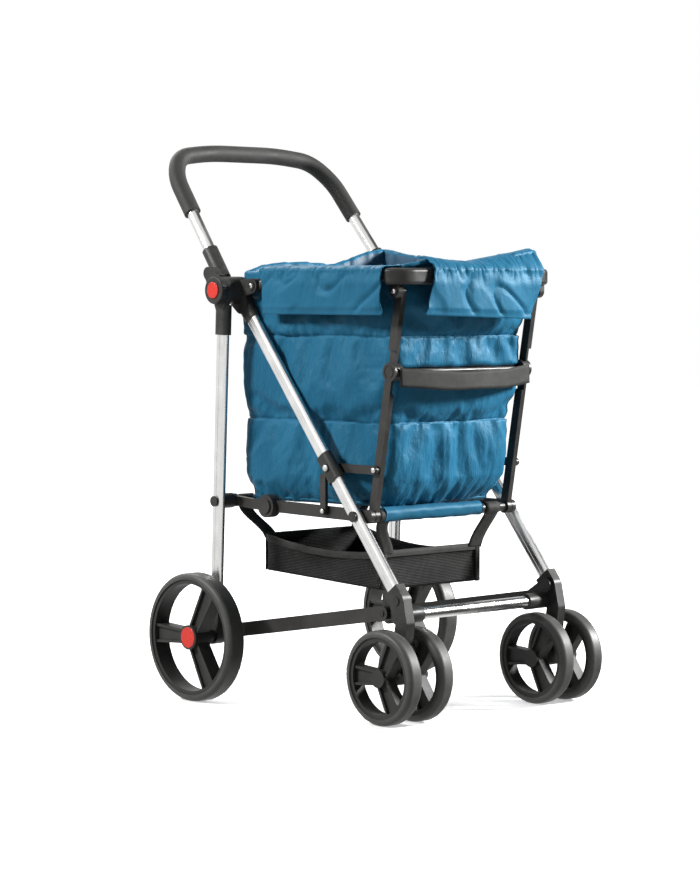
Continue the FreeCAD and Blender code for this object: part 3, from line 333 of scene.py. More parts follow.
def make_steel():
    return mottled("steel", (0.62, 0.61, 0.59), 0.3, 1.0, cloud=(160.0, 3.0, 0.6),
                   shades=((0.5, 0.5, 0.49), (0.72, 0.71, 0.69)), sheen=(0.22, 0.4)).material


def make_grip_foam():
    s = mottled("grip_foam", (0.06, 0.06, 0.057), 0.62, shine=0.3, cloud=(24.0, 3.0, 0.6),
                shades=((0.036, 0.036, 0.034), (0.056, 0.056, 0.053)), sheen=(0.55, 0.7))
    s.bump(s.pores(1100.0), 0.00015, 0.5)
    return s.material


def make_red_plastic():
    return mottled("red_plastic", (0.84, 0.035, 0.02), 0.32, cloud=(200.0, 2.0, 0.5),
                   shades=((0.78, 0.028, 0.016), (0.9, 0.045, 0.026)), relief=(0.00005, 0.3)).material


def blue_cloth(name, color, roughness):
    s = Shader(name, color, roughness)
    s.set(Specular_IOR_Level=CLOTH_SHINE, Specular_Tint=rgba(CLOTH_TINT))
    return s


def make_bag_fabric():
    s = blue_cloth("bag_fabric", (0.042, 0.235, 0.42), 0.42)
    creased = s.noise(60.0, 5.0, 0.62, s.stretched((1.0, 1.0, 0.45)))
    s.color_from(s.ramp(s.noise(9.0, 3.0, 0.6), (0.018, 0.132, 0.242), (0.030, 0.180, 0.312)))
    s.roughness_from(s.spread(creased, 0.36, 0.48))
    s.weave("DIAGONAL", s.bump(creased, 0.0034, 0.85))
    return s.material


def make_flap_fabric():
    s = blue_cloth("flap_fabric", (0.036, 0.2, 0.37), 0.45)
    crumpled = s.noise(34.0, 4.0, 0.6)
    s.color_from(s.ramp(s.noise(9.0, 3.0, 0.6), (0.021, 0.138, 0.245), (0.028, 0.171, 0.298)))
    s.roughness_from(s.spread(crumpled, 0.38, 0.52))
    s.weave("DIAGONAL", s.bump(crumpled, 0.0020, 0.6))
    return s.material


# Painted shade: the sleeve and bottom cord are the bag's blue cloth with their colours set about a fifth darker,
# to take down the light falling on the sleeve's top.
def make_bag_piping():
    s = blue_cloth("bag_piping", (0.05, 0.27, 0.47), 0.45)
    cloud = s.noise(26.0, 4.0, 0.6)
    s.color_from(s.ramp(cloud, (0.019, 0.118, 0.205), (0.027, 0.150, 0.260)))
    s.weave("X", s.bump(cloud, 0.0012, 0.5))
    return s.material


# Painted shade: the lining is the bag's own blue cloth with its colours set about half as bright, standing for the
# shade inside the bag.
def make_lining():
    return mottled("lining", (0.012, 0.08, 0.15), 0.55, cloud=(40.0, 4.0, 0.6),
                   shades=((0.010, 0.070, 0.135), (0.015, 0.092, 0.172)), relief=(0.0015, 0.7)).material


def make_webbing():
    s = Shader("webbing", (0.032, 0.032, 0.03), 0.6)
    s.set(Specular_IOR_Level=0.25)
    ribs = s.math("MULTIPLY", s.wave(420.0, "Z"), s.wave(600.0, "DIAGONAL"))
    s.color_from(s.ramp(s.noise(30.0, 3.0, 0.6), (0.018, 0.018, 0.017), (0.040, 0.040, 0.037)))
    s.bump(ribs, 0.0002, 0.7)
    return s.material


def make_mesh_fabric():
    s = Shader("mesh_fabric", (0.01, 0.01, 0.01), 0.6)
    s.set(Specular_IOR_Level=0.15)
    parts = s.node("ShaderNodeSeparateXYZ")
    s.link(s.spot, parts.inputs["Vector"])
    level = s.math("ADD", parts.outputs["X"], parts.outputs["Y"])
    turns = 2.0 * math.pi / NET_PITCH
    first = s.math("SINE", s.math("MULTIPLY", s.math("ADD", level, parts.outputs["Z"]), turns), 0.0)
    second = s.math("SINE", s.math("MULTIPLY", s.math("SUBTRACT", level, parts.outputs["Z"]), turns), 0.0)
    net = s.math("MULTIPLY", first, second)
    cloud = s.noise(12.0, 4.0, 0.6)
    holes = s.math("MULTIPLY", net, s.spread(cloud, 0.75, 1.25))
    s.color_from(s.ramp(holes, (0.002, 0.002, 0.002), (0.11, 0.11, 0.106), 0.35, 0.95))
    s.bump(net, 0.0004, 0.6)
    return s.material


MAKERS = [
    make_tyre_rubber, make_wheel_plastic, make_frame_plastic, make_dark_metal, make_silver_tube,
    make_steel, make_grip_foam, make_red_plastic, make_bag_fabric, make_mesh_fabric, make_webbing,
    make_lining, make_flap_fabric, make_bag_piping,
]
materials = {maker.__name__.removeprefix("make_"): maker() for maker in MAKERS}


def dress_nodes():
    """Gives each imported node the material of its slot."""
    for part in frame["record"]["subparts"]:
        obj = nodes[part["node"]]
        obj.data.materials.clear()
        obj.data.materials.append(materials[part["material_slot"]])


def add_floor():
    """Pale floor, white to the eye but a soft grey to the light that bounces off it."""
    mesh = bpy.data.meshes.new("floor")
    corners = [(FLOOR_HALF * x, FLOOR_HALF * y, 0.0) for x, y in ((-1, -1), (1, -1), (1, 1), (-1, 1))]
    mesh.from_pydata(corners, [], [(0, 1, 2, 3)])
    floor = bpy.data.objects.new("floor", mesh)
    bpy.context.scene.collection.objects.link(floor)
    s = Shader("floor", (0.94, 0.94, 0.94), 0.8)
    s.set(Specular_IOR_Level=0.0)
    s.color_from(s.ramp(s.noise(1.5), (0.93, 0.93, 0.93), (0.96, 0.96, 0.96)))
    far = s.node("ShaderNodeVectorMath")
    far.operation = "LENGTH"
    s.link(s.spot, far.inputs[0])
    glow = s.spread(far.outputs["Value"], FLOOR_GLOW_NEAR, 1.0, *FLOOR_GLOW_REACH)
    s.set(Emission_Color=rgba(WHITE))
    s.link(glow, s.surface.inputs["Emission Strength"])
    bounce = s.node("ShaderNodeBsdfDiffuse", Color=gray(FLOOR_BOUNCE))
    seen = s.node("ShaderNodeLightPath").outputs["Is Camera Ray"]
    mixed = s.node("ShaderNodeMixShader")
    s.link(seen, mixed.inputs["Fac"])
    s.link(bounce.outputs["BSDF"], mixed.inputs[1])
    s.link(s.surface.outputs["BSDF"], mixed.inputs[2])
    s.link(mixed.outputs["Shader"], s.tree.nodes["Material Output"].inputs["Surface"])
    mesh.materials.append(s.material)
    floor.visible_glossy = False


# Fabric: seeded noise, grids and meshes

def smooth(x, low, high):
    """Smooth step from 0 at low to 1 at high."""
    t = np.clip((x - low) / (high - low), 0.0, 1.0)
    return t * t * (3.0 - 2.0 * t)


NOISE_CELLS = 256


def eased(t):
    return t * t * t * (t * (t * 6.0 - 15.0) + 10.0)


def value_noise(x, y, seed):
    """Smooth noise between -1 and 1 over a plane measured in cells."""
    table = np.random.default_rng(seed).random((NOISE_CELLS, NOISE_CELLS)) * 2.0 - 1.0
    xi = np.floor(x).astype(int)
    yi = np.floor(y).astype(int)
    fx = eased(x - xi)
    fy = eased(y - yi)

    def corner(right, up):
        return table[(xi + right) % NOISE_CELLS, (yi + up) % NOISE_CELLS]

    low = corner(0, 0) * (1.0 - fx) + corner(1, 0) * fx
    high = corner(0, 1) * (1.0 - fx) + corner(1, 1) * fx
    return low * (1.0 - fy) + high * fy


def creases(x, y, seed):
    """Rounded puffs between sharp valleys, from 0 in a valley to about 1."""
    return np.minimum(np.abs(value_noise(x, y, seed)) * 2.2, 1.0) ** 0.75


def grid_faces(rows, columns, closed):
    """Quads of a grid whose columns may close into a ring."""
    faces = []
    last = columns if closed else columns - 1
    for r in range(rows - 1):
        for c in range(last):
            d = (c + 1) % columns
            faces.append((r * columns + c, r * columns + d, (r + 1) * columns + d, (r + 1) * columns + c))
    return faces


def ring_face(row, columns):
    """Face that closes one ring of a grid."""
    return tuple(range(row * columns, (row + 1) * columns))


def add_mesh(name, points, faces, slots, indices=None):
    """Mesh object with its materials."""
    mesh = bpy.data.meshes.new(name)
    mesh.from_pydata([tuple(p) for p in points], [], faces)
    mesh.update()
    for slot in slots:
        mesh.materials.append(materials[slot])
    for i, polygon in enumerate(mesh.polygons):
        polygon.use_smooth = True
        if indices is not None:
            polygon.material_index = indices[i]
    obj = bpy.data.objects.new(name, mesh)
    bpy.context.scene.collection.objects.link(obj)
    return obj


def apply_modifiers(obj):
    depsgraph = bpy.context.evaluated_depsgraph_get()
    mesh = bpy.data.meshes.new_from_object(obj.evaluated_get(depsgraph))
    obj.modifiers.clear()
    old = obj.data
    obj.data = mesh
    mesh.name = obj.name
    bpy.data.meshes.remove(old)


def thicken(obj, thickness):
    """Turns a sheet into cloth of a given thickness, half of it on each side."""
    solid = obj.modifiers.new("thickness", "SOLIDIFY")
    solid.thickness = thickness
    solid.offset = 0.0
    apply_modifiers(obj)


def round_corner(here, start, end, steps):
    """Points of a soft corner from start round the corner point here, short of end."""
    return [start * (1 - t) ** 2 + here * 2 * t * (1 - t) + end * t ** 2
            for t in np.linspace(0.0, 1.0, steps, endpoint=False)]


def rounded_ring(corners, radii, corner_steps, side_steps):
    """Closed ring through four corners, each side starting after its rounded first corner."""
    ring = []
    for i in range(4):
        here, ahead, back = corners[i], corners[(i + 1) % 4], corners[i - 1]
        forward = (ahead - here) / np.linalg.norm(ahead - here)
        backward = (back - here) / np.linalg.norm(back - here)
        end = here + forward * radii[i]
        ring += round_corner(here, here + backward * radii[i], end, corner_steps)
        stop = ahead - forward * radii[(i + 1) % 4]
        ring += [end * (1 - t) + stop * t for t in np.linspace(0.0, 1.0, side_steps[i], endpoint=False)]
    return np.array(ring)


def ring_distances(ring):
    """Distance of each point along a closed ring."""
    steps = np.linalg.norm(np.roll(ring, -1, axis=0) - ring, axis=1)
    return np.concatenate([[0.0], np.cumsum(steps)[:-1]])


def softened(values, times, axis=0):
    """Values round a closed ring, each mixed with its neighbours."""
    for _ in range(times):
        values = 0.25 * np.roll(values, 1, axis) + 0.5 * values + 0.25 * np.roll(values, -1, axis)
    return values


def outwards(ring, middle, across=1.0):
    """Unit directions from the middle of a ring to its points, with x weighed by across."""
    out = ring - middle
    out[:, 0] *= across
    return out / np.linalg.norm(out, axis=1, keepdims=True)


def in_model(x, y, z):
    """Rows of points in the model's frame from the drawing's x, y and z."""
    return np.column_stack([x, y + DRAWING_Y, np.broadcast_to(z, len(x))])


def grid_normals(points):
    """Unit normals of a grid whose columns close into a ring, from its neighbours."""
    along = np.roll(points, -1, axis=1) - np.roll(points, 1, axis=1)
    up = np.gradient(points, axis=0)
    normal = np.cross(along, up)
    return normal / np.maximum(np.linalg.norm(normal, axis=2, keepdims=True), 1e-9)


# Bag

BAG_BOTTOM = 0.344
BAG_TOP = 0.750
BAG_LEVELS = np.array([BAG_BOTTOM, 0.3927, 0.5673, BAG_TOP])
BAG_FRONT_HALF = np.array([0.122, 0.134, 0.144, 0.148])
BAG_REAR_HALF = np.array([0.155, 0.163, 0.167, 0.167])
BAG_FRONT_Y = np.array([-0.108, -0.132, -0.160, -0.186])
BAG_REAR_Y = np.array([0.172, 0.178, 0.183, 0.187])
BAG_CORNERS = (0.016, 0.016, 0.011, 0.011)
SEAMS = (0.484, 0.627)
SKIN_TOP = 0.7255
RAIL_TOP = 0.7385
CREST = [
    (-0.150, -0.186, 0.745), (-0.105, -0.200, 0.757), (-0.063, -0.200, 0.752), (-0.009, -0.200, 0.749),
    (0.048, -0.200, 0.757), (0.101, -0.200, 0.764), (0.140, -0.200, 0.7705), (0.160, -0.190, 0.7690),
    (0.161, -0.143, 0.766), (0.161, -0.091, 0.760), (0.161, -0.033, 0.750), (0.161, 0.023, 0.7555),
    (0.163, 0.068, 0.761), (0.165, 0.121, 0.767), (0.166, 0.152, 0.771), (0.166, 0.178, 0.776),
    (0.150, 0.187, 0.775), (0.120, 0.187, 0.771), (0.086, 0.187, 0.760), (0.068, 0.187, 0.756),
    (0.037, 0.187, 0.747), (0.004, 0.187, 0.7505), (-0.030, 0.187, 0.752), (-0.079, 0.187, 0.752),
    (-0.127, 0.187, 0.747), (-0.155, 0.187, 0.737), (-0.166, 0.165, 0.7345), (-0.165, 0.116, 0.7385),
    (-0.160, 0.040, 0.7405), (-0.155, -0.060, 0.7405), (-0.150, -0.150, 0.7415),
]
BAG_COLUMNS = (62, 78, 62, 78)
CORNER_COLUMNS = 6
FINE_ROW = 0.0018
WIDE_ROW = 0.0036
SEAM_REACH = 0.008
GIRTH_HEIGHT = 0.600
RIM_ROWS = 7
RIM_ROLL = 0.005
OVER_RAIL = 0.013


def bag_outline(z):
    """Ring of points at one height: front from right to left, left side, rear, right side."""
    measures = (BAG_FRONT_HALF, BAG_REAR_HALF, BAG_FRONT_Y, BAG_REAR_Y)
    front_half, rear_half, front, rear = (np.interp(z, BAG_LEVELS, values) for values in measures)
    corners = np.array([[-front_half, front], [front_half, front], [rear_half, rear], [-rear_half, rear]])
    return rounded_ring(corners, BAG_CORNERS, CORNER_COLUMNS, BAG_COLUMNS)


def crest_heights(ring):
    """Height of the bag's rim at each column."""
    angles = np.arctan2(ring[:, 1], ring[:, 0])
    known = np.array(CREST)
    known_angles = np.arctan2(known[:, 1], known[:, 0])
    order = np.argsort(known_angles)
    known_angles, heights = known_angles[order], known[order, 2]
    wrapped = np.concatenate([known_angles - 2 * math.pi, known_angles, known_angles + 2 * math.pi])
    return softened(np.interp(angles, wrapped, np.tile(heights, 3)), 4)


def bag_rows():
    """Heights of the shared rows, closer together beside the seams."""
    z = BAG_BOTTOM
    rows = [z]
    while z < SKIN_TOP:
        near = min(abs(z - seam) for seam in SEAMS + (BAG_BOTTOM,))
        z += FINE_ROW if near < SEAM_REACH else WIDE_ROW
        rows.append(z)
    rows = np.array(rows)
    for seam in SEAMS:
        rows[np.argmin(np.abs(rows - seam))] = seam
    return rows


KNEE_HEIGHT = 0.569
KNEE_HALF_HEIGHT = 0.018
KNEE_HALF = 0.017
POST_HALF = 0.0105
POST_HEIGHTS = (0.331, KNEE_HEIGHT, 0.701)
POST_SPOTS = (-0.126, -0.167, -0.190)
RAIL_BAND = (0.690, 0.7375)
LINK_HEIGHT = 0.4075
LINK_HALF = 0.010
LINK_SPAN = (-0.150, -0.035)
LOW_BAR_TOP = 0.358
LOW_BAR_REAR = 0.139
TUBE_LIMIT = 0.1712
POST_LIMIT = 0.1512
RAIL_LIMIT = 0.1670
LINK_LIMIT = 0.1622
LOW_BAR_LIMIT = 0.1615
BAR_REACH = -0.1605
BAR_HALF = 0.0065


def side_limits(y, z):
    """Furthest that the fabric may reach sideways before it meets the frame."""
    post_y = np.interp(z, POST_HEIGHTS, POST_SPOTS)
    half = np.where(np.abs(z - KNEE_HEIGHT) < KNEE_HALF_HEIGHT, KNEE_HALF, POST_HALF)
    limit = np.where(np.abs(y - post_y) < half, POST_LIMIT, TUBE_LIMIT)
    at_rail = (z > RAIL_BAND[0]) & (z < RAIL_BAND[1])
    at_link = (np.abs(z - LINK_HEIGHT) < LINK_HALF) & (y > LINK_SPAN[0]) & (y < LINK_SPAN[1])
    at_low_bar = (z < LOW_BAR_TOP) & (y < LOW_BAR_REAR)
    for near, least in ((at_rail, RAIL_LIMIT), (at_link, LINK_LIMIT), (at_low_bar, LOW_BAR_LIMIT)):
        limit = np.where(near, np.minimum(limit, least), limit)
    return limit


SHORT_PUCKER = 0.0058
LONG_PUCKER = 0.0080
SWELL = 0.0060
FRONT_SWELL = 0.0036
PINCH = 0.0034
SLANT_FOLD = 0.0075
KNEE_FAN = 0.0045
DRAPE = 0.0052


def gathers(u, s, seed, reach_short, reach_long, slant=0.0):
    """Puckers that run away from a seam: short ones at the stitches, long ones between."""
    lean = u + slant * s
    cluster = 0.55 + 0.75 * np.maximum(value_noise(u / 0.045, 3.3, seed + 3), -0.5)
    short = creases(lean / 0.0075, s / 0.030, seed) * np.exp(-s / reach_short)
    long = creases(lean / 0.021, s / 0.110, seed + 1) * np.exp(-s / reach_long)
    return cluster * (SHORT_PUCKER * short + LONG_PUCKER * long)


# Puckers beside the quilting lines: which line, below or above it, seed, how far the short and
# the long ones reach, slant, strength, and what is added to the strength at the front.
SEAM_GATHERS = [
    (SEAMS[0], "below", 21, 0.013, 0.050, 0.10, 0.65, 0.60),
    (SEAMS[0], "above", 31, 0.012, 0.030, -0.25, 0.6, 0.45),
    (SEAMS[1], "below", 41, 0.012, 0.032, 0.25, 0.85, 0.40),
    (SEAMS[1], "above", 51, 0.012, 0.026, 0.15, 1.05, -0.3),
]


def seam_puckers(u, z, front):
    total = 0.0
    for seam, side, seed, short, long, slant, strength, added in SEAM_GATHERS:
        beside = z < seam if side == "below" else z >= seam
        depth = strength + added * front
        total += beside * gathers(u, np.abs(z - seam), seed, short, long, slant) * depth
    return total


def bag_relief(u, y, z, front):
    """Outward swell of the quilted fabric at each point."""
    edges = (BAG_BOTTOM - 0.004, *SEAMS, 0.760)
    depth = np.zeros(np.shape(z))
    for low, high in zip(edges, edges[1:]):
        t = np.clip((z - low) / (high - low), 0.0, 1.0)
        depth += np.where((z >= low) & (z < high), np.sin(math.pi * t) ** 0.5, 0.0)
    relief = depth * (SWELL + FRONT_SWELL * front) + 0.0030 * value_noise(u / 0.095, z / 0.075, 11) * depth
    relief += 0.0018 * value_noise(u / 0.036, z / 0.050, 12) * depth
    relief += seam_puckers(u, z, front)
    bottom = z - BAG_BOTTOM
    curl = u + 2.6 * bottom * bottom * np.sign(value_noise(u / 0.09, 0.0, 61))
    relief += gathers(curl, bottom, 62, 0.014, 0.048) * (0.75 + 0.70 * front) * (bottom < 0.13)
    pinch = sum(np.exp(-np.abs(z - seam) / 0.0026) for seam in SEAMS)
    relief -= PINCH * pinch
    # Slanting folds low at the rear, a fan beside the posts' knees, and a drape low in front.
    across = (y * 0.64 + z * 0.77) / 0.017
    along = (y * 0.77 - z * 0.64) / 0.085
    place = np.exp(-((y - 0.120) ** 2 / 0.0045 + (z - 0.385) ** 2 / 0.0022))
    relief += SLANT_FOLD * creases(across, along, 71) * place * (1.0 - front)
    fan = np.exp(-((y + 0.130) ** 2 / 0.0012 + (z - 0.560) ** 2 / 0.0020))
    relief += KNEE_FAN * creases(z / 0.010, y / 0.060, 72) * fan * (1.0 - front)
    drape = creases((u + 0.12 * (z - 0.42)) / 0.026, z / 0.16, 73)
    relief += DRAPE * drape * front * smooth(z, 0.352, 0.40) * (1.0 - smooth(z, 0.455, 0.482))
    fine = value_noise(u / 0.0065, z / 0.011, 74)
    return relief + 0.00035 * fine * depth


SKIN_STEP = 0.0042
CLOTH_FRAMES = 16
CLOTH_GRAVITY = 0.15
CLOTH_SPARE = 0.065
CLOTH = {
    "quality": 6,
    "mass": 0.15,
    "air_damping": 1.5,
    "tension_stiffness": 25.0,
    "compression_stiffness": 25.0,
    "shear_stiffness": 6.0,
    "bending_stiffness": 12.0,
    "bending_damping": 0.5,
    "use_pressure": True,
    "uniform_pressure_force": 1.6,
    "shrink_min": -CLOTH_SPARE,
    "vertex_group_mass": "sewn",
}
CLOTH_SEED = 5
CLOTH_ROUGH = 0.0006
SWELL_MOST = 0.015
SWELL_LEAST = -0.004
SHIFT_MOST = 0.004


def skin_heights():
    """Rows of the simulated skin: even between the sewn lines, with a row on each line."""
    lines = (BAG_BOTTOM,) + SEAMS + (SKIN_TOP,)
    heights = [BAG_BOTTOM]
    for low, high in zip(lines, lines[1:]):
        steps = round((high - low) / SKIN_STEP)
        heights += [low + (high - low) * k / steps for k in range(1, steps + 1)]
    heights = np.array(heights)
    sewn = np.array([min(abs(z - line) for line in lines) < 1e-6 for z in heights])
    return heights, sewn


def billow():
    """Blows up the skin, cut a little too large, between its sewn lines; gives how each point moved."""
    heights, sewn = skin_heights()
    rings = [bag_outline(z) for z in heights]
    rest = np.array([np.column_stack([ring, np.full(len(ring), z)]) for ring, z in zip(rings, heights)])
    rows, columns = rest.shape[:2]
    normal = grid_normals(rest)
    start = np.random.default_rng(CLOTH_SEED).normal(0.0, CLOTH_ROUGH, (rows, columns))
    start[sewn] = 0.0
    points = (rest + normal * start[:, :, None]).reshape(-1, 3)
    skin = add_mesh("skin", points, grid_faces(rows, columns, True), ["bag_fabric"])
    group = skin.vertex_groups.new(name="sewn")
    group.add([int(r * columns + c) for r in np.where(sewn)[0] for c in range(columns)], 1.0, "REPLACE")
    cloth = skin.modifiers.new("cloth", "CLOTH")
    for name, value in CLOTH.items():
        setattr(cloth.settings, name, value)
    cloth.settings.effector_weights.gravity = CLOTH_GRAVITY
    cloth.collision_settings.use_collision = False
    cloth.point_cache.frame_start = 1
    cloth.point_cache.frame_end = CLOTH_FRAMES
    for step in range(1, CLOTH_FRAMES + 1):
        bpy.context.scene.frame_set(step)
    apply_modifiers(skin)
    moved = np.empty(rows * columns * 3)
    skin.data.vertices.foreach_get("co", moved)
    shift = moved.reshape(rows, columns, 3) - rest
    bpy.data.objects.remove(skin)
    bpy.context.scene.frame_set(1)
    out = (shift * normal).sum(axis=2)
    aside = shift - normal * out[:, :, None]
    out = np.clip(out, SWELL_LEAST, SWELL_MOST)
    reach = np.linalg.norm(aside, axis=2, keepdims=True)
    aside *= np.minimum(1.0, SHIFT_MOST / np.maximum(reach, 1e-9))
    shift = normal * out[:, :, None] + aside
    soft = softened(shift, 1, axis=1)
    soft[1:-1] = 0.25 * soft[:-2] + 0.5 * soft[1:-1] + 0.25 * soft[2:]
    return heights, np.where(sewn[:, None, None], shift, soft)


def resample(heights, shift, z):
    """The simulated movement at other heights, column by column."""
    above = np.clip(np.searchsorted(heights, z), 1, len(heights) - 1)
    share = np.clip((z - heights[above - 1]) / (heights[above] - heights[above - 1]), 0.0, 1.0)
    columns = np.arange(shift.shape[1])[None, :]
    share = share[:, :, None]
    return shift[above - 1, columns] * (1.0 - share) + shift[above, columns] * share


def bag_points():
    """Grid of the outer skin up to its rim, with its normals and each column's way round the bag."""
    rows = bag_rows()
    base = bag_outline(GIRTH_HEIGHT)
    u = ring_distances(base)
    top = bag_outline(BAG_TOP)
    crest = crest_heights(top) - RIM_ROLL
    z = np.empty((len(rows) + RIM_ROWS, len(base)))
    z[:len(rows)] = rows[:, None]
    share = np.arange(1, RIM_ROWS + 1) / RIM_ROWS
    z[len(rows):] = rows[-1] + (crest[None, :] - rows[-1]) * share[:, None]
    flat = np.concatenate([np.array([bag_outline(row) for row in rows]), np.tile(top, (RIM_ROWS, 1, 1))])
    points = np.dstack([flat[:, :, 0], flat[:, :, 1], z])
    lying = smooth(z, RAIL_TOP - 0.002, RAIL_TOP + 0.010)
    in_front = smooth(-points[:, :, 1], 0.150, 0.184)
    points[:, :, 1] -= OVER_RAIL * lying * in_front
    far_corner = smooth(points[:, :, 0], 0.118, 0.150) * smooth(-points[:, :, 1], 0.130, 0.180)
    points[:, :, 0] += OVER_RAIL * lying * far_corner
    normal = grid_normals(points)
    normal[:, :, 2] *= 0.3
    front = smooth(np.abs(normal[:, :, 1]), 0.5, 0.85) * (points[:, :, 1] < 0)
    around = np.tile(u, (len(z), 1))
    relief = bag_relief(around, points[:, :, 1], z, front)
    rim = smooth(z, 0.725, 0.742)
    puff = 0.0035 + 0.0016 * value_noise(around / 0.012, z / 0.02, 81)
    heights, shift = billow()
    gain = 0.72 + 0.13 * front
    cloth = resample(heights, shift, z) * (gain * (1.0 - rim))[:, :, None]
    relief = relief * 0.5 * (1.0 - rim) + puff * rim
    points = points + cloth + normal * relief[:, :, None]
    limit = side_limits(points[:, :, 1], z)
    points[:, :, 0] = np.clip(points[:, :, 0], -limit, limit)
    bar = BAR_REACH - 3.0 * np.maximum(np.abs(z - KNEE_HEIGHT) - BAR_HALF, 0.0)
    points[:, :, 1] = np.where(points[:, :, 1] < 0, np.maximum(points[:, :, 1], bar), points[:, :, 1])
    return points, normal, u


# Row a little below the rail, whose normals lead the rim and the lining inwards.
WALL_ROW = -12
LINING_DEPTHS = (0.010, 0.022, 0.035, 0.05, 0.07, 0.10, 0.13, 0.16, 0.20, 0.24, 0.28, 0.32, 0.36, 0.42)


def close_bag(points, normal, u):
    """Adds the rolled rim and the lining; also gives the row where the lining starts."""
    inward = -normal[WALL_ROW]
    inward[:, 2] = 0.0
    inward /= np.linalg.norm(inward, axis=1, keepdims=True)
    radius = 0.0052 + 0.0012 * value_noise(u / 0.010, 0.0, 82)[:, None]
    rolls = []
    for angle in np.linspace(0.0, math.pi, 8)[1:]:
        shift = inward * (radius * (1 - math.cos(angle)))
        shift[:, 2:] = radius * math.sin(angle)
        rolls.append(points[-1] + shift)
    lip = rolls[-1]
    lining = []
    for drop in LINING_DEPTHS:
        z = np.maximum(lip[:, 2] - drop, BAG_BOTTOM + 0.008)
        ring = np.array([bag_outline(height)[i] for i, height in enumerate(z)])
        wave = 0.0030 * value_noise(u / 0.03, z / 0.05, 83)[:, None]
        share = min(drop / 0.035, 1.0)
        spot = ring + inward[:, :2] * (0.0095 + wave)
        spot = lip[:, :2] * (1.0 - share) + spot * share
        lining.append(np.column_stack([spot, z]))
    grid = np.concatenate([points, np.array(rolls), np.array(lining)])
    return grid, len(points) + len(rolls)


def make_bag():
    grid, lining_from = close_bag(*bag_points())
    rows, columns = grid.shape[:2]
    flat = grid.reshape(-1, 3).copy()
    flat[:, 1] += DRAWING_Y
    faces = grid_faces(rows, columns, True)
    indices = [1 if i // columns >= lining_from - 1 else 0 for i in range(len(faces))]
    faces += [ring_face(0, columns)[::-1], ring_face(rows - 1, columns)]
    indices += [0, 1]
    bag = add_mesh("bag_shell", flat, faces, ["bag_fabric", "lining"], indices)
    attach(bag, "top_frame")
    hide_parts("bag")
    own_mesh(bag)


def tube_along(name, path, radius, sides, wobble=None):
    """Round cord along a level path, capped at both ends."""
    tangent = np.gradient(path, axis=0)
    tangent /= np.linalg.norm(tangent, axis=1, keepdims=True)
    points = []
    for i, (spot, heading) in enumerate(zip(path, tangent)):
        first = np.cross(heading, (0.0, 0.0, 1.0))
        first /= np.linalg.norm(first)
        second = np.cross(heading, first)
        for k in range(sides):
            angle = 2 * math.pi * k / sides
            swell = radius if wobble is None else radius + wobble(i, angle)
            points.append(spot + swell * (first * math.cos(angle) + second * math.sin(angle)))
    faces = grid_faces(len(path), sides, True)
    faces += [ring_face(0, sides), ring_face(len(path) - 1, sides)[::-1]]
    return add_mesh(name, points, faces, ["bag_piping"])


PIPING_HALF = 0.1585
PIPING_RADIUS = 0.0032


def make_piping():
    """Sewn cord round the bottom edge of the bag."""
    ring = bag_outline(BAG_BOTTOM + 0.006)
    ring = ring + outwards(ring, np.array([0.0, 0.03])) * 0.0040
    path = in_model(np.clip(ring[:, 0], -PIPING_HALF, PIPING_HALF), ring[:, 1], BAG_BOTTOM + 0.005)
    path = np.concatenate([path, path[:1]])
    piping = tube_along("bag_piping", path, PIPING_RADIUS, 8)
    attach(piping, "top_frame")
    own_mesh(piping)


# Flaps that fold over the top frame

FLAP_REACH = 0.0325
FLAP_BEND = 0.0060
BEND_HEIGHT = 0.7345
FLAP_TOP = 0.738
FLAP_FALL = 0.076
FLAP_THICKNESS = 0.0016
HANG_ROWS = 26
SIDE_HEM = 0.662
SIDE_REAR = 0.116
SIDE_OUT = 0.1893
FRONT_HEM = 0.660
FRONT_RIGHT = -0.1105
FRONT_LEFT = 0.1475
FRONT_NEAR = 0.1868
FRONT_OUT = 0.2192
# How far out from the rim, and how much of the rim's rise is left there.
FRONT_CLIMB = [(-0.004, 1.00), (0.003, 1.05), (0.010, 0.92), (0.017, 0.66), (0.0235, 0.36), (0.029, 0.12)]


def flap_path(hem):
    """Cross section of a flap: outwards over the rail, then down; (out, height) pairs."""
    over = FLAP_REACH - FLAP_BEND
    path = [(0.0, 0.7405), (0.006, 0.7412), (over * 0.5, 0.7408), (over, 0.7400)]
    for angle in (25, 50, 75, 90):
        a = math.radians(angle)
        path.append((over + FLAP_BEND * math.sin(a), BEND_HEIGHT + FLAP_BEND * math.cos(a)))
    for i in range(1, HANG_ROWS + 1):
        path.append((FLAP_REACH, BEND_HEIGHT - (BEND_HEIGHT - hem) * i / HANG_ROWS))
    return np.array(path)


def fallen(height, hem):
    """How far down a flap a height lies: 0 on the rail, 1 at the hem."""
    return np.clip((FLAP_TOP - height) / (FLAP_TOP - hem), 0.0, 1.0)


def flap_relief(s, height, seed, hem):
    """How far a flap stands off: slow folds, a few slanting creases, puckers and a firm hem."""
    down = fallen(height, hem)
    slow = 0.0034 * value_noise(s / 0.060, height / 0.07, seed) * down
    bend = 0.005 * value_noise(s / 0.06, height / 0.05, seed + 4)
    slant = creases((s * 0.60 + height * 0.80 + bend) / 0.034, (s * 0.80 - height * 0.60) / 0.070, seed + 1)
    pucker = creases(s / 0.0080, height / 0.03, seed + 2) * np.exp(-down * FLAP_FALL / 0.012)
    drawn = creases((s + 0.3 * height) / 0.019, height / 0.05, seed + 3) * np.exp(-down * FLAP_FALL / 0.030)
    seam = 0.0012 * np.exp(-((height - hem - 0.009) / 0.0016) ** 2)
    body = 0.0052 * slant * smooth(down, 0.02, 0.35) * (1.0 - 0.8 * smooth(down, 0.84, 0.97))
    return slow + body + 0.0026 * pucker + 0.0032 * drawn - seam


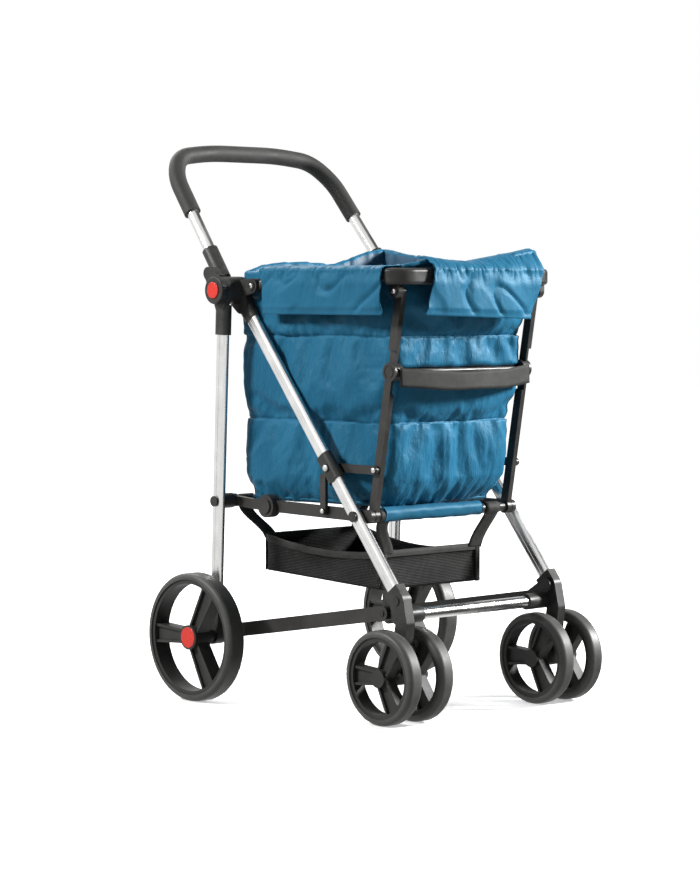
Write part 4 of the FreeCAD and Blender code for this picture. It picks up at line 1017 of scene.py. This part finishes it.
def add_flap(name, rows, flipped=False):
    """Thick cloth through rows of points, carried by the top frame."""
    faces = grid_faces(len(rows), len(rows[0]), False)
    if flipped:
        faces = [face[::-1] for face in faces]
    flap = add_mesh(name, np.array(rows).reshape(-1, 3), faces, ["flap_fabric"])
    thicken(flap, FLAP_THICKNESS)
    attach(flap, "top_frame")
    return flap


def make_side_flap(name, sign, seed, front):
    """Flap over one side rail; its rear edge slants."""
    share = np.linspace(0.0, 1.0, 110)
    rows = []
    for base_out, height in flap_path(SIDE_HEM):
        down = fallen(height, SIDE_HEM)
        y = front + (SIDE_REAR - 0.011 * down - front) * share
        # The bag's wall stands further out towards the rear.
        wall = 0.1485 + 0.019 * (y + 0.186) / 0.373
        out = wall - 0.004 + (SIDE_OUT - wall + 0.004) * (base_out / FLAP_REACH)
        swell = flap_relief(y, height, seed, SIDE_HEM)
        lift = smooth(base_out, 0.028, FLAP_REACH)
        curl = 0.004 * smooth(y, -0.02, 0.09) * smooth(down, 0.75, 1.0)
        rows.append(in_model(sign * (out + (swell + curl) * lift), y, height + (1.0 - lift) * swell * 0.35))
    flap = add_flap(name, rows, flipped=sign > 0)


def make_front_flap():
    """Flap that leaves the bag's rolled rim, lies over the front rail and hangs a little askew."""
    share = np.linspace(0.0, 1.0, 150)
    crest_x, _, crest_z = np.array(CREST[:7]).T
    rows = []
    for out, climb in FRONT_CLIMB:
        x = FRONT_RIGHT + (FRONT_LEFT - FRONT_RIGHT) * share
        rise = np.interp(x, crest_x, crest_z) - 0.7415
        pucker = creases(x / 0.0085, out / 0.04, 133) * smooth(out, 0.0, 0.02)
        y = -(FRONT_NEAR + out) - 0.0012 * pucker
        rows.append(in_model(x, y, 0.7420 + climb * rise + 0.0022 * pucker))
    for base_out, height in flap_path(FRONT_HEM):
        if base_out < 0.0300:
            continue
        down = fallen(height, FRONT_HEM)
        right = FRONT_RIGHT - 0.0195 * down
        left = FRONT_LEFT - 0.0295 * down
        x = right + (left - right) * share
        swell = flap_relief(x, height, 131, FRONT_HEM)
        lift = smooth(base_out, 0.020, FLAP_REACH)
        y = -(FRONT_NEAR + (FRONT_OUT - FRONT_NEAR) * (base_out / FLAP_REACH)) - swell * lift
        askew = (0.008 * share - 0.002) * down
        rows.append(in_model(x, y, height + (1.0 - lift) * swell * 0.7 - askew))
    flap = add_flap("front_flap", rows)


# Strap, sleeve and basket

STRAP_HALF = 0.1525
STRAP_Y = -0.1838
STRAP_BOW = 0.0205
STRAP_TOP = 0.5770
STRAP_BOTTOM = 0.5445
SLEEVE_SPAN = (-0.137, 0.090)
SLEEVE_AXIS = (-0.126, 0.3315)
SLEEVE_RADIUS = 0.0112


def ribbon(name, left, right, thickness, rows):
    """Webbing between two edges given as lists of points."""
    left, right = np.array(left), np.array(right)
    grid = np.array([left * (1 - t) + right * t for t in np.linspace(0.0, 1.0, rows)])
    band = add_mesh(name, grid.reshape(-1, 3), grid_faces(rows, len(left), False), ["webbing"])
    thicken(band, thickness)
    return band


def make_strap():
    """Webbing that bows forward between the posts' knees."""
    xs = np.linspace(-STRAP_HALF, STRAP_HALF, 70)
    bow = 1.0 - (xs / STRAP_HALF) ** 2
    y = STRAP_Y - STRAP_BOW * bow + DRAWING_Y
    top = STRAP_TOP - 0.0085 * bow + 0.0006 * np.sin(xs * 60.0)
    bottom = STRAP_BOTTOM - 0.0065 * bow + 0.0008 * np.sin(xs * 45.0 + 1.0)
    upper = np.column_stack([xs, y, top])
    lower = np.column_stack([xs, y - 0.0012, bottom])
    strap = ribbon("front_strap_webbing", lower, upper, 0.0022, 7)
    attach(strap, "upper_posts")
    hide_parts("front_strap")


def make_sleeve():
    """Fabric sleeve round the front cross tube."""
    xs = np.linspace(*SLEEVE_SPAN, 90)
    path = in_model(xs, np.full(len(xs), SLEEVE_AXIS[0]), SLEEVE_AXIS[1])

    def wobble(i, angle):
        wrinkle = value_noise(xs[i] / 0.018, angle * 0.9, 91)
        hang = 0.0022 * max(0.0, -math.sin(angle))
        return 0.0007 * wrinkle + hang

    sleeve = tube_along("cross_sleeve_fabric", path, SLEEVE_RADIUS, 28, wobble)
    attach(sleeve, "middle_frame")
    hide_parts("cross_tube_sleeve")


BASKET_HALF = 0.1174
BASKET_FRONT = -0.103
BASKET_REAR = 0.188
BASKET_CORNER = 0.010
BASKET_MIDDLE = np.array([0.0, (BASKET_FRONT + BASKET_REAR) / 2])
FLOOR_FRONT = 0.2045
FLOOR_RISE = 0.0135
RIM_FRONT = 0.268
RIM_RISE = 0.012
SIDE_SAG = 0.012
LEFT_SAG = 0.008
NET_ROWS = 14
# The two cross tubes in side view, as y and z.
TUBE_FRONT = (-0.126, 0.331)
TUBE_REAR = (0.204, 0.341)
LOOP_RADIUS = 0.0094


def basket_floor(y):
    return FLOOR_FRONT + FLOOR_RISE * (y - BASKET_FRONT) / (BASKET_REAR - BASKET_FRONT)


def basket_rim(x, y):
    """Height of the basket's rim, which sags along both sides, more on the left."""
    along = (y - BASKET_FRONT) / (BASKET_REAR - BASKET_FRONT)
    dip = (SIDE_SAG + LEFT_SAG * (x > 0)) * (np.abs(x) > BASKET_HALF - 0.002)
    return RIM_FRONT + RIM_RISE * along - dip * np.sin(math.pi * np.clip(along, 0.0, 1.0)) ** 0.8


def basket_ring():
    """Ring of points round the basket with small round corners."""
    half, front, rear = BASKET_HALF, BASKET_FRONT, BASKET_REAR
    corners = np.array([[-half, front], [half, front], [half, rear], [-half, rear]])
    return rounded_ring(corners, [BASKET_CORNER] * 4, 5, [44] * 4)


def make_basket():
    """Net tray: four walls and a floor in one mesh, with bound rim and corners."""
    ring = basket_ring()
    rim = softened(basket_rim(ring[:, 0], ring[:, 1]), 3)
    floor = basket_floor(ring[:, 1])
    u = ring_distances(ring)
    out = outwards(ring, BASKET_MIDDLE, 1.3)
    rows = []
    for t in np.linspace(0.0, 1.0, NET_ROWS):
        bulge = math.sin(math.pi * t)
        slack = 0.0045 * bulge * value_noise(u / 0.07, t * 1.5, 101)
        spot = ring - out * (0.004 * bulge + slack)[:, None]
        rows.append(in_model(*spot.T, rim * (1 - t) + floor * t))
    edge = in_model(*ring.T, 0.0)[:, :2]
    centre = BASKET_MIDDLE + np.array([0.0, DRAWING_Y])
    for t in np.linspace(0.0, 1.0, NET_ROWS)[1:-1]:
        spot = edge * (1 - t) + centre * t
        level = floor * (1 - t) + basket_floor(BASKET_MIDDLE[1]) * t
        ripple = 0.0015 * value_noise(spot[:, 0] / 0.05, spot[:, 1] / 0.05, 102)
        rows.append(np.column_stack([spot, level - 0.007 * smooth(t, 0.0, 0.9) + ripple]))
    faces = grid_faces(len(rows), len(ring), True)
    faces.append(ring_face(len(rows) - 1, len(ring)))
    net = add_mesh("basket_net", np.array(rows).reshape(-1, 3), faces, ["mesh_fabric"])
    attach(net, "middle_frame")
    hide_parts("basket")
    thicken(net, 0.0008)
    bindings = [rim_binding(ring, out, rim)] + corner_bindings() + make_hangers()
    for piece in [net] + bindings:
        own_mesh(piece)


def on_middle_frame(piece):
    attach(piece, "middle_frame")
    return piece


def rim_binding(ring, out, rim):
    """Folded tape over the net's rim."""
    section = [(0.0016, -0.0100), (0.0020, -0.0050), (0.0018, 0.0000), (0.0, 0.0018),
               (-0.0018, 0.0000), (-0.0020, -0.0050), (-0.0016, -0.0100), (0.0, -0.0104)]
    columns = [in_model(*(ring + out * offset).T, rim + height) for offset, height in section]
    grid = np.array(columns + columns[:1])
    faces = grid_faces(len(grid), len(ring), True)
    return on_middle_frame(add_mesh("basket_rim_tape", grid.reshape(-1, 3), faces, ["webbing"]))


def corner_bindings():
    """Tape down each vertical corner of the net."""
    ends = [("front", BASKET_FRONT, -1, RIM_FRONT), ("rear", BASKET_REAR, 1, RIM_FRONT + RIM_RISE)]
    pieces = []
    for side, sign in (("right", -1), ("left", 1)):
        for end, y, toward, top in ends:
            low = basket_floor(y) - 0.001
            left = []
            right = []
            for t in np.linspace(0.0, 1.0, 12):
                z = top * (1 - t) + low * t
                left.append((sign * (BASKET_HALF - 0.0115), y + toward * 0.0012 + DRAWING_Y, z))
                right.append((sign * (BASKET_HALF - 0.0012), y + toward * 0.0006 + DRAWING_Y, z))
            tape = ribbon("basket_corner_%s_%s" % (end, side), left, right, 0.0014, 4)
            pieces.append(on_middle_frame(tape))
    return pieces


def hanger(name, tube, tube_x, foot, width, sway):
    """Webbing looped round a cross tube and sewn to a corner of the basket."""
    toward = 1 if foot[1] > 0 else -1
    line = []
    for angle in np.radians(np.linspace(250, -70, 22)):
        y = tube[0] + toward * LOOP_RADIUS * math.cos(angle)
        line.append((tube_x, y, tube[1] + LOOP_RADIUS * math.sin(angle)))
    _, start_y, start_z = line[-1]
    for t in np.linspace(0.0, 1.0, 16)[1:]:
        ease = t * t * (3 - 2 * t)
        x = tube_x * (1 - ease) + foot[0] * ease
        y = start_y * (1 - t) + foot[1] * t + sway * math.sin(math.pi * t)
        line.append((x, y, start_z * (1 - t) + foot[2] * t))
    left, right = ([(x + aside, y + DRAWING_Y, z) for x, y, z in line] for aside in (-width / 2, width / 2))
    return on_middle_frame(ribbon(name, left, right, 0.0016, 5))


def make_hangers():
    return [
        hanger("hanger_front_right", TUBE_FRONT, -0.1375, (-0.1040, -0.1035, 0.262), 0.026, 0.004),
        hanger("hanger_front_left", TUBE_FRONT, 0.1180, (0.1035, -0.1035, 0.262), 0.032, 0.004),
        hanger("hanger_rear_right", TUBE_REAR, -0.1480, (-0.1040, 0.1885, 0.274), 0.028, 0.002),
        hanger("hanger_rear_left", TUBE_REAR, 0.1380, (0.1040, 0.1885, 0.274), 0.028, 0.002),
    ]


# Bright rivets on the heads of the dark pins

POST_RIVET = (-0.139243 + DRAWING_Y, 0.407869)
SHORT_LINK_FOOT = (-0.026 + DRAWING_Y, 0.335)
DOME = [(1.0, 0.0), (1.0, 0.22), (0.93, 0.48), (0.76, 0.76), (0.5, 0.93), (0.24, 1.0)]
DOME_SIDES = 24
OUTSIDE = 0.4


def joint_place(name):
    """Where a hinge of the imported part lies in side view: its y and z."""
    entry = [joint for joint in frame["joints"] if joint["name"] == name][0]
    return entry["pos_m"][1], entry["pos_m"][2]


def dome(name, base, radius, height, toward):
    """Domed rivet head whose axis lies along X."""
    points = []
    for share, climb in DOME:
        for k in range(DOME_SIDES):
            angle = 2 * math.pi * k / DOME_SIDES
            points.append((base[0] + toward * height * climb,
                           base[1] + radius * share * math.cos(angle),
                           base[2] + radius * share * math.sin(angle)))
    faces = grid_faces(len(DOME), DOME_SIDES, True)
    faces += [ring_face(len(DOME) - 1, DOME_SIDES), ring_face(0, DOME_SIDES)[::-1]]
    if toward < 0:
        faces = [face[::-1] for face in faces]
    return add_mesh(name, points, faces, ["steel"])


def make_rivets():
    """A rivet on each side, seated on the outer face of the node that carries it."""
    places = [
        ("ear_rivet", "hub_bracket", "front_frame", joint_place("top_frame_fold"), 0.0042),
        ("post_top_rivet", "top_corners", "top_frame", joint_place("upper_post_fold"), 0.0042),
        ("runner_rivet", "runner", "runners", joint_place("post_link_swing"), 0.0058),
        ("post_link_rivet", "post_links", "post_links", POST_RIVET, 0.0046),
        ("short_link_rivet", "short_links", "short_links", SHORT_LINK_FOOT, 0.0042),
    ]
    for name, node, body, (y, z), radius in places:
        for side, sign in (("right", -1), ("left", 1)):
            carrier = nodes[node] if node in nodes else nodes["%s_%s" % (node, side)]
            found, spot, _, _ = carrier.ray_cast(Vector((sign * OUTSIDE, y, z)), Vector((-sign, 0.0, 0.0)))
            if not found:
                raise SystemExit("no face under " + name)
            head = dome("%s_%s" % (name, side), (spot.x, y, z), radius, radius * 0.5, sign)
            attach(head, body)


dress_nodes()
add_camera()
add_lights()
add_floor()
make_bag()
make_piping()
make_side_flap("side_flap_right", -1, 111, -0.1812)
make_side_flap("side_flap_left", 1, 121, -0.1500)
make_front_flap()
make_strap()
make_sleeve()
make_basket()
make_rivets()
